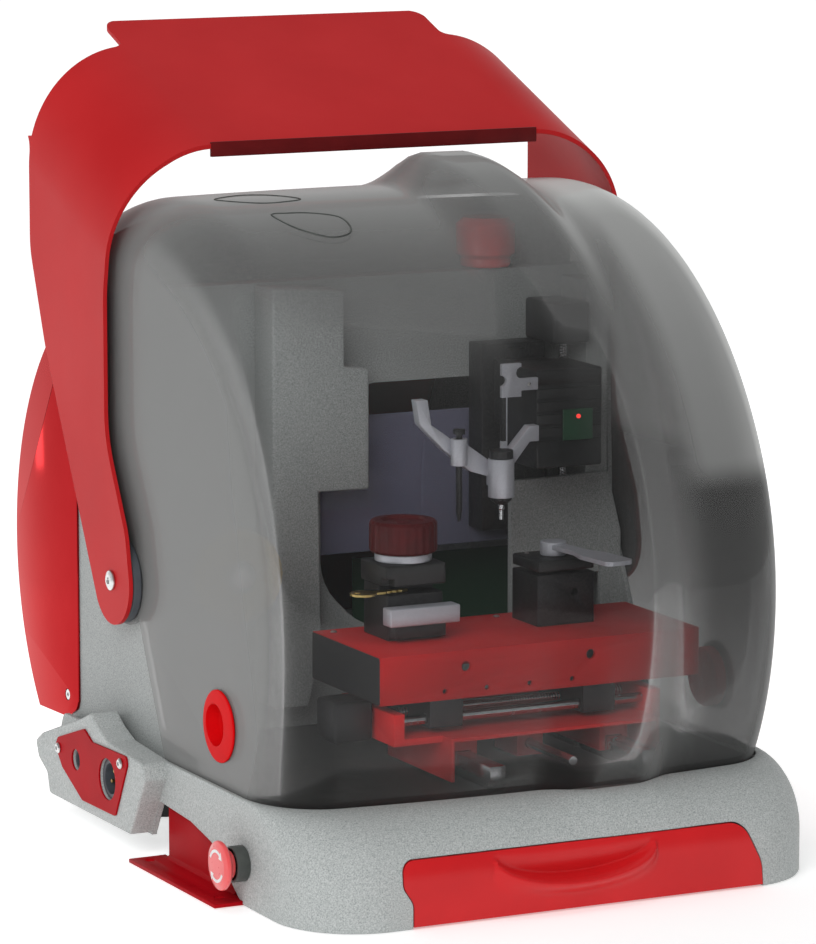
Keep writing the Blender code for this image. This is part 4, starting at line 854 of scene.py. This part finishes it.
# ---------------- rear and handle
def make_rear_cover():
    skin = arc(DRUM, COVER_RADIUS, 115.8, 217.0, 96)
    flange = rounded([skin[-1], (0.2124, 0.0780), (0.1890, 0.0885), (COVER_FRONT_Y, 0.0960),
                      (COVER_FRONT_Y, 0.4395), skin[0]], 0.008, 6, corners=(1, 2, 3))
    bm = prism(skin[1:-1] + flange, "X", -COVER_HALF, COVER_HALF)
    round_off(bm, [e for e in bm.edges if abs(e.verts[0].co.x - e.verts[1].co.x) < 1e-6], 0.0012)
    cover = make("rear_cover_fine", bm, "gloss")
    inside = arc(DRUM, DRUM_RADIUS + GAP, 95, 225, 110) + [(0.10, 0.04), (0.05, 0.30)]
    cut(cover, prism(inside, "X", -DRUM_HALF - GAP, DRUM_HALF + GAP))
    for tag, side in (("left", -1), ("right", 1)):
        cut(cover, rod("X", COVER_SCREW, 0.0051, side * 0.21, side * 0.23, 40))
        outline = [(0, side * 0.2206), (0.0024, side * 0.2206), (0.0046, side * 0.2226), (0, side * 0.2226)]
        screw = make("cover_screw_" + tag, turned(outline, "X", COVER_SCREW, 40), "zinc")
        cut(screw, prism(hexagon(COVER_SCREW, 0.0018), "X", side * 0.2215, side * 0.23))
        own(screw, "base", "zinc")
    finish_shading(cover, 20.0)
    own(cover, "base", "gloss_red", "rear_cover")


def strap_arch(half, bend, height):
    """One skin of the handle, seen along the strap: up the left arm, across, and down the right arm."""
    left = [(-half, 0.05)] + [polar((bend - half, height - bend), bend, 180 - a) for a in range(0, 91, 3)]
    return left + [(-x, w) for x, w in reversed(left)]


def make_handle():
    lean = (math.cos(STRAP_SLOPE), math.sin(STRAP_SLOPE))
    top = -STRAP_FRONT_Y * lean[1] + STRAP_FRONT_Z * lean[0]
    skin = ARM_OUT - ARM_IN
    band = strap_arch(ARM_OUT, STRAP_BEND, top)
    band += strap_arch(ARM_IN, STRAP_BEND - skin, top - skin)[::-1]
    rings = [[(x, along * lean[0] - w * lean[1], along * lean[1] + w * lean[0]) for x, w in band]
             for along in (-0.1, 0.6)]
    handle = make("handle_fine", loft(rings), "handle")
    end = [polar(PIVOT, ARM_END, angle) for angle in range(-32, -189, -6)]
    rest = [(0.041, 0.265), (0.082, 0.340), (0.082, 0.460), (STRAP_FRONT_Y, 0.565), (STRAP_FRONT_Y, 0.70),
            (0.287, 0.72), (0.287, 0.600), (0.240, 0.570), (0.240, 0.480), (0.209, 0.401)]
    first = len(end)
    bends = {first: 0.05, first + 1: 0.09, first + 2: 0.12, first + 7: 0.02, first + 8: 0.06, first + 9: 0.12}
    keep(handle, prism(rounded(end + rest, bends, 10, corners=set(bends)), "X", -0.3, 0.3))
    for side in (-1, 1):
        notch = mirrored([(TAB_HALF, 0.241), (0.26, 0.241), (0.26, 0.32), (TAB_HALF, 0.32)], side)
        cut(handle, prism(rounded(notch, 0.008, 8, corners=(0,)), "Z", 0.575, 0.72))
        turn = [polar((TAB_HALF - TAB_CORNER, 0.2735), TAB_CORNER, 90 - angle) for angle in range(0, 91, 9)]
        corner = [(TAB_HALF, 0.2875), (TAB_HALF - TAB_CORNER, 0.2875)] + turn
        corner += [(TAB_HALF + 0.002, 0.2735), (TAB_HALF + 0.002, 0.29), (TAB_HALF, 0.29)]
        cut(handle, prism(mirrored(corner, side), "Z", 0.575, 0.72),
            rod("X", PIVOT, 0.0050, side * 0.22, side * 0.26, 40))
    own(handle, "handle", "handle_red", "carry_handle")
    # the strap lip takes the near-black red as painted shade
    lip = make("strap_lip", box((-TAB_HALF + 0.001, STRAP_FRONT_Y - 0.0008, 0.5695),
                                (TAB_HALF - 0.001, STRAP_FRONT_Y + 0.0026, 0.5818)), "shade")
    bevel(lip, 0.0006, 2)
    own(lip, "handle", "handle_red")


# ---------------- work bay
def dent(bm, first, second, centre, beyond, depth):
    """Pulls a turned piece's rim in by depth(angle), at points further from its axis than a limit."""
    for vertex in bm.verts:
        a, b = vertex.co[first] - centre[0], vertex.co[second] - centre[1]
        reach = math.hypot(a, b)
        if reach > beyond:
            pull = depth(math.atan2(b, a))
            vertex.co[first] -= a / reach * pull
            vertex.co[second] -= b / reach * pull


def make_knob():
    """Clamp knob: shallow flutes round the rim, a dished top and an aluminium ring below."""
    outline = [(0, 0.2563), (0.0262, 0.2563), (0.0279, 0.2585), (0.0279, 0.2800), (0.0262, 0.2825),
               (0.0180, 0.2830), (0.0160, 0.2805), (0.0060, 0.2800), (0.0055, 0.2815), (0, 0.2815)]
    bm = turned(eased(outline, 0.0010, 3), "Z", VISE, 144)
    dent(bm, 0, 1, VISE, 0.0255, lambda angle: 0.0006 * (1 + math.cos(24 * angle)) / 2)
    piece("knob_fine", bm, "knob", "knob", "knob_red", "vise_knob")
    ring = eased([(0, 0.2493), (0.0235, 0.2493), (0.0235, 0.2560), (0, 0.2560)], 0.0008)
    piece("knob_ring_fine", turned(ring, "Z", VISE, 72), "aluminium", "knob", "aluminium", "vise_ring")


def make_key():
    """Cut key: round bow with a ring hole, shoulder, and a blade with a stepped edge."""
    key = make("key_fine", prism([polar(BOW, 0.0110, 7.5 * i) for i in range(48)], "Z", *KEY_Z), "brass")
    blade = [(-0.0830, -0.1028), (-0.0720, -0.1028), (-0.0705, -0.1010), (-0.0680, -0.1022),
             (-0.0655, -0.0998), (-0.0625, -0.1018), (-0.0595, -0.0994), (-0.0570, -0.1012),
             (-0.0540, -0.1000), (-0.0505, -0.0985), (-0.0535, -0.0946), (-0.0720, -0.0944),
             (-0.0830, -0.0942)]
    fuse(key, prism(blade, "Z", *KEY_Z))
    cut(key, rod("Z", (BOW[0] - 0.0055, BOW[1]), 0.0030, 0.22, 0.23, 32))
    cut(key, box((-0.0810, -0.0962, 0.2267), (-0.0520, -0.0954, 0.23)))
    own(key, "table", "brass", "key_blank")


def make_lever():
    boss = eased([(0, 0.2423), (0.0110, 0.2423), (0.0110, 0.2538), (0, 0.2538)], 0.0010)
    lever = make("lever_fine", turned(boss, "Z", CLAMP, 64), "aluminium")
    blade = rounded([(0.000, 0.007), (0.040, 0.007), (0.058, 0.013), (0.099, 0.013), (0.099, -0.013),
                     (0.058, -0.013), (0.040, -0.007), (0.000, -0.007)], 0.006, 6, corners=range(1, 7))
    c, s = polar((0, 0), 1, -84)
    swung = [(CLAMP[0] + a * c - b * s, CLAMP[1] + a * s + b * c) for a, b in blade]
    fuse(lever, prism(swung, "Z", 0.2482, 0.2518))
    own(lever, "lever", "aluminium", "clamp_lever")
    make_screw_head("lever_screw", "Z", CLAMP, 0.2534, 1, 0.0010, "lever")


def make_brush():
    outline = [(0.0135, -0.0060), (0.0330, -0.0060), (0.0390, -0.0040), (0.0390, 0.0040), (0.0330, 0.0060),
               (0.0135, 0.0060)]
    bm = turned(rounded(outline, 0.0012, 3), "Y", BRUSH, 180, ring=True)
    dent(bm, 0, 2, BRUSH, 0.030, lambda angle: 0.0009 * abs(math.sin(31.7 * angle) * math.cos(47.3 * angle)))
    piece("brush_fine", bm, "bristle", "brush", "brass", "brush_wheel", smooth=60.0)
    hub = eased([(0, -0.0095), (0.0090, -0.0095), (0.0132, -0.0070), (0.0132, 0.0070), (0.0065, 0.0070),
                 (0.0065, 0.0820), (0, 0.0820)], 0.0008, 3)
    piece("brush_hub_fine", turned(hub, "Y", BRUSH, 64), "steel", "brush", "steel", "brush_hub")


def make_lamp():
    outline = eased([(0, 0.4400), (0.0055, 0.4400), (0.0055, 0.4615), (0.0220, 0.4615), (0.0220, 0.4690),
                     (0.0260, 0.4730), (0.0260, 0.4980), (0.0200, 0.5040), (0, 0.5040)], 0.0025, 5)
    piece("lamp_fine", turned(outline, "Z", LAMP, 72), "lamp", "base", "gloss_red", "status_lamp")


def make_threaded(node, axis, centre, low, high, body):
    """A lead screw with a real rolled thread."""
    radius, depth, pitch, rings_per_turn, sides = 0.004, 0.0004, 0.0025, 8, 16
    count = int((high - low) / pitch * rings_per_turn)
    rings = []
    for k in range(count + 1):
        along = low + (high - low) * k / count
        ring = []
        for i in range(sides):
            phase = 2 * math.pi * ((along - low) / pitch - i / sides)
            reach = radius - depth * (1 + math.cos(phase)) / 2
            ring.append(place(axis, along, *polar(centre, reach, 360 * i / sides)))
        rings.append(ring)
    piece(node + "_fine", loft(rings), "rod", body, "steel", node, smooth=60.0)


def make_head_details():
    """Cutting head: ribbed motor, small board with its light, bracket screws."""
    motor = refined("spindle_motor", "head", "black_plastic", "black", 0.0020, 3)
    for i in range(5):
        z = 0.330 + 0.011 * i
        cut(motor, box((0.090, -0.0460, z), (0.1600, -0.0436, z + 0.0035)))
    board = make("head_board", box((0.1200, -0.0470, 0.3300), (0.1480, -0.0453, 0.3560)), "board")
    bevel(board, 0.0003, 1)
    own(board, "head", "circuit_green")
    light = [(0, -0.0471), (0.0018, -0.0471), (0.0018, -0.0485), (0, -0.0490)]
    piece("head_light", turned(light, "Y", (0.1340, 0.3500), 24), "signal", "head", "button_red")
    for i, (x, z) in enumerate(((0.0625, 0.3060), (0.0625, 0.2985), (0.0870, 0.3800), (0.0200, 0.3300))):
        make_screw_head(f"head_screw_{i}", "Y", (x, z), -0.0501 if z < 0.34 else -0.0481, -1, 0.0017, "head")


def make_table():
    """Folded red deck with an end plate kept dark as painted shade, and dark bearing blocks underneath."""
    deck = refined("x_table", "table", "sheet_red", "table", 0.0006)
    cut(deck, box((-0.075, -0.1700, 0.1200), (0.125, -0.0440, 0.1473)),
        box((-0.075, -0.1622, 0.1400), (0.125, -0.0434, TABLE_UNDER)))
    for i, (low, high) in enumerate(((-0.060, -0.030), (0.080, 0.110))):
        block = box((low, -0.1580, 0.1234), (high, -0.0700, TABLE_UNDER))
        block = make(f"table_block_{i}", block, "dark_steel")
        bores = [rod("X", (y, X_SCREW[1]), 0.0046, -0.12, 0.19, 32) for y in (-0.150, X_SCREW[0], -0.080)]
        cut(block, *bores)
        bevel(block, 0.0010)
        own(block, "table", "dark_steel")
    # painted shade: the left end plate sits in shadow and takes the dark steel colour for it
    plate = rounded([(-0.1650, 0.1480), (-0.0405, 0.1480), (-0.0405, 0.1865), (-0.1650, 0.1865)], 0.002)
    piece("table_end", prism(plate, "X", -0.1088, -0.1081), "dark_steel", "table", "dark_steel")


def make_bracket():
    """The head's light V-shaped arm and notched plate, with a dark bar between them."""
    arm = refined("head_bracket", "head", "aluminium", "aluminium")
    cut(arm, box((0.0600, -0.0490, 0.3335), (0.0659, -0.0430, 0.3700)))
    bar = box((0.0620, -0.0478, 0.3337), (0.0658, -0.0442, 0.3698))
    piece("bracket_bar", bar, "dark_steel", "head", "dark_steel")


def make_bay():
    for node, body, slot, material, width in (
            ("y_tray", "cross_tray", "sheet_red", "sheet", 0.0006),
            ("left_vise_body", "table", "dark_steel", "dark_steel", 0.0010),
            ("right_clamp_body", "table", "dark_steel", "dark_steel", 0.0010),
            ("left_vise_jaw", "knob_jaw", "black_plastic", "black", 0.0015),
            ("right_clamp_jaw", "lever_jaw", "black_plastic", "black", 0.0015),
            ("key_stop", "table", "aluminium", "aluminium", 0.0012),
            ("x_motor", "cross_tray", "dark_steel", "dark_steel", 0.0030),
            ("y_motor", "base", "dark_steel", "dark_steel", 0.0030),
            ("z_motor", "base", "dark_steel", "dark_steel", 0.0030),
            ("z_column", "base", "dark_steel", "dark_steel", 0.0010),
            ("z_carriage", "head", "dark_steel", "dark_steel", 0.0010),
            ("y_rail_left", "base", "steel", "steel", 0.0008),
            ("y_rail_right", "base", "steel", "steel", 0.0008),
            ("foot_rail_left", "base", "sheet_red", "rail", 0.0005),
            ("foot_rail_right", "base", "sheet_red", "rail", 0.0005),
            ("left_pillar", "base", "speckled_grey", "housing", 0.0040),
            ("power_supply", "base", "zinc", "zinc", 0.0012),
            ("guard_sheet", "base", "guard_tint", "guard", 0.0006)):
        refined(node, body, slot, material, width)
    make_table()
    make_threaded("x_screw", "X", X_SCREW, -0.0977, 0.1380, "table_screw")
    make_threaded("y_screw", "Y", (0.046, 0.0960), -0.205, -0.0105, "tray_screw")
    make_threaded("z_screw", "Z", (0.166, 0.040), 0.2450, 0.3995, "head_screw")
    for i, x in enumerate((-0.095, -0.020, 0.055, 0.130)):
        make_screw_head(f"table_screw_{i}", "Z", (x, -0.052), TABLE_TOP, 1, 0.0028, "table")
    for i, x in enumerate((0.074, 0.107)):
        make_screw_head(f"clamp_bolt_{i}", "Z", (x, -0.070), 0.24205, 1, 0.0020, "lever_jaw")


def paint_the_rest():
    """The CAD nodes that stay get their finishes."""
    for material, names in (
            ("housing", ["rear_body"]), ("black", ["estop_stem"]), ("board", ["control_board"]),
            ("dark_steel", ["brush_motor", "spindle", "tracer"]), ("rod", ["cutter"]),
            ("rubber", ["rear_foot_left", "rear_foot_right"]), ("steel", ["x_rod_front", "x_rod_rear"])):
        for name in names:
            for slot in NODES[name].material_slots:
                slot.material = M[material]


# ---------------- studio
def panel(name, centre, target, size, radiance, glossy=True):
    """A rectangular soft light of a given brightness that the camera doesn't see."""
    light = bpy.data.lights.new(name, "AREA")
    light.shape = "RECTANGLE"
    light.size, light.size_y = size
    light.energy = radiance * math.pi * size[0] * size[1]
    obj = added(name, light)
    obj.location = centre
    obj.rotation_euler = (Vector(target) - Vector(centre)).to_track_quat("-Z", "Y").to_euler()
    obj.visible_camera = False
    obj.visible_glossy = glossy


def make_world():
    """Studio surround: white behind the machine near the horizon, soft grey elsewhere."""
    world = bpy.data.worlds.new("studio")
    world.use_nodes = True
    bpy.context.scene.world = world
    g = Graph(world.node_tree)
    background = g.tree.nodes["Background"]
    g.put(background.inputs["Color"], (1.0, 1.0, 1.0))
    _, y, z = g.axes(g.add("ShaderNodeTexCoord").outputs["Generated"])
    white = g.maths("MULTIPLY", g.ranged(y, 0.05, 0.60, 0.0, 1.0), g.ranged(z, 0.10, 0.55, 1.0, 0.0))
    g.put(background.inputs["Strength"], g.ranged(white, 0.0, 1.0, 0.30, 1.08))


def make_studio():
    bpy.ops.mesh.primitive_plane_add(size=7.0, location=(0, 0.8, -0.0005))
    floor = bpy.context.object
    floor.name = "studio_floor"
    floor.data.materials.append(M["floor"])
    make_world()
    panel("key", (-1.95, -2.15, 1.75), (0, 0, 0.28), (1.8, 1.5), 6.6, glossy=False)
    panel("top", (0.0, 0.2, 2.7), (0, 0, 0.3), (2.0, 2.0), 1.4, glossy=False)
    panel("side", (2.5, 0.1, 0.75), (0, 0, 0.35), (1.3, 1.5), 1.5, glossy=False)
    panel("card", (-0.592, 1.182, 0.2635), (-0.214, 0.256, 0.2635), (0.085, 0.273), 2.2)
    bpy.context.scene.view_settings.view_transform = "Standard"


def make_camera():
    turn, dip = math.radians(26.4), math.radians(9.3)
    forward = Vector((math.sin(turn) * math.cos(dip), math.cos(turn) * math.cos(dip), -math.sin(dip)))
    right = Vector((math.cos(turn), -math.sin(turn), 0))
    up = right.cross(forward)
    data = bpy.data.cameras.new("camera")
    data.lens = 190.26
    data.sensor_width = 36
    data.clip_end = 60
    camera = added("camera", data)
    at = (-1.82308, -3.67025, 0.97653)
    camera.matrix_world = Matrix([*zip(right, up, -forward, at), (0, 0, 0, 1)])
    bpy.context.scene.camera = camera


make_camera()
make_studio()
make_hood()
make_grip_marks()
make_cup("left", -1)
make_cup("right", 1)
make_plinth()
make_drawer()
make_connectors()
make_estop()
make_pivot("left", -1)
make_pivot("right", 1)
make_rear_cover()
make_handle()
make_knob()
make_key()
make_lever()
make_brush()
make_lamp()
make_head_details()
make_bracket()
make_bay()
paint_the_rest()
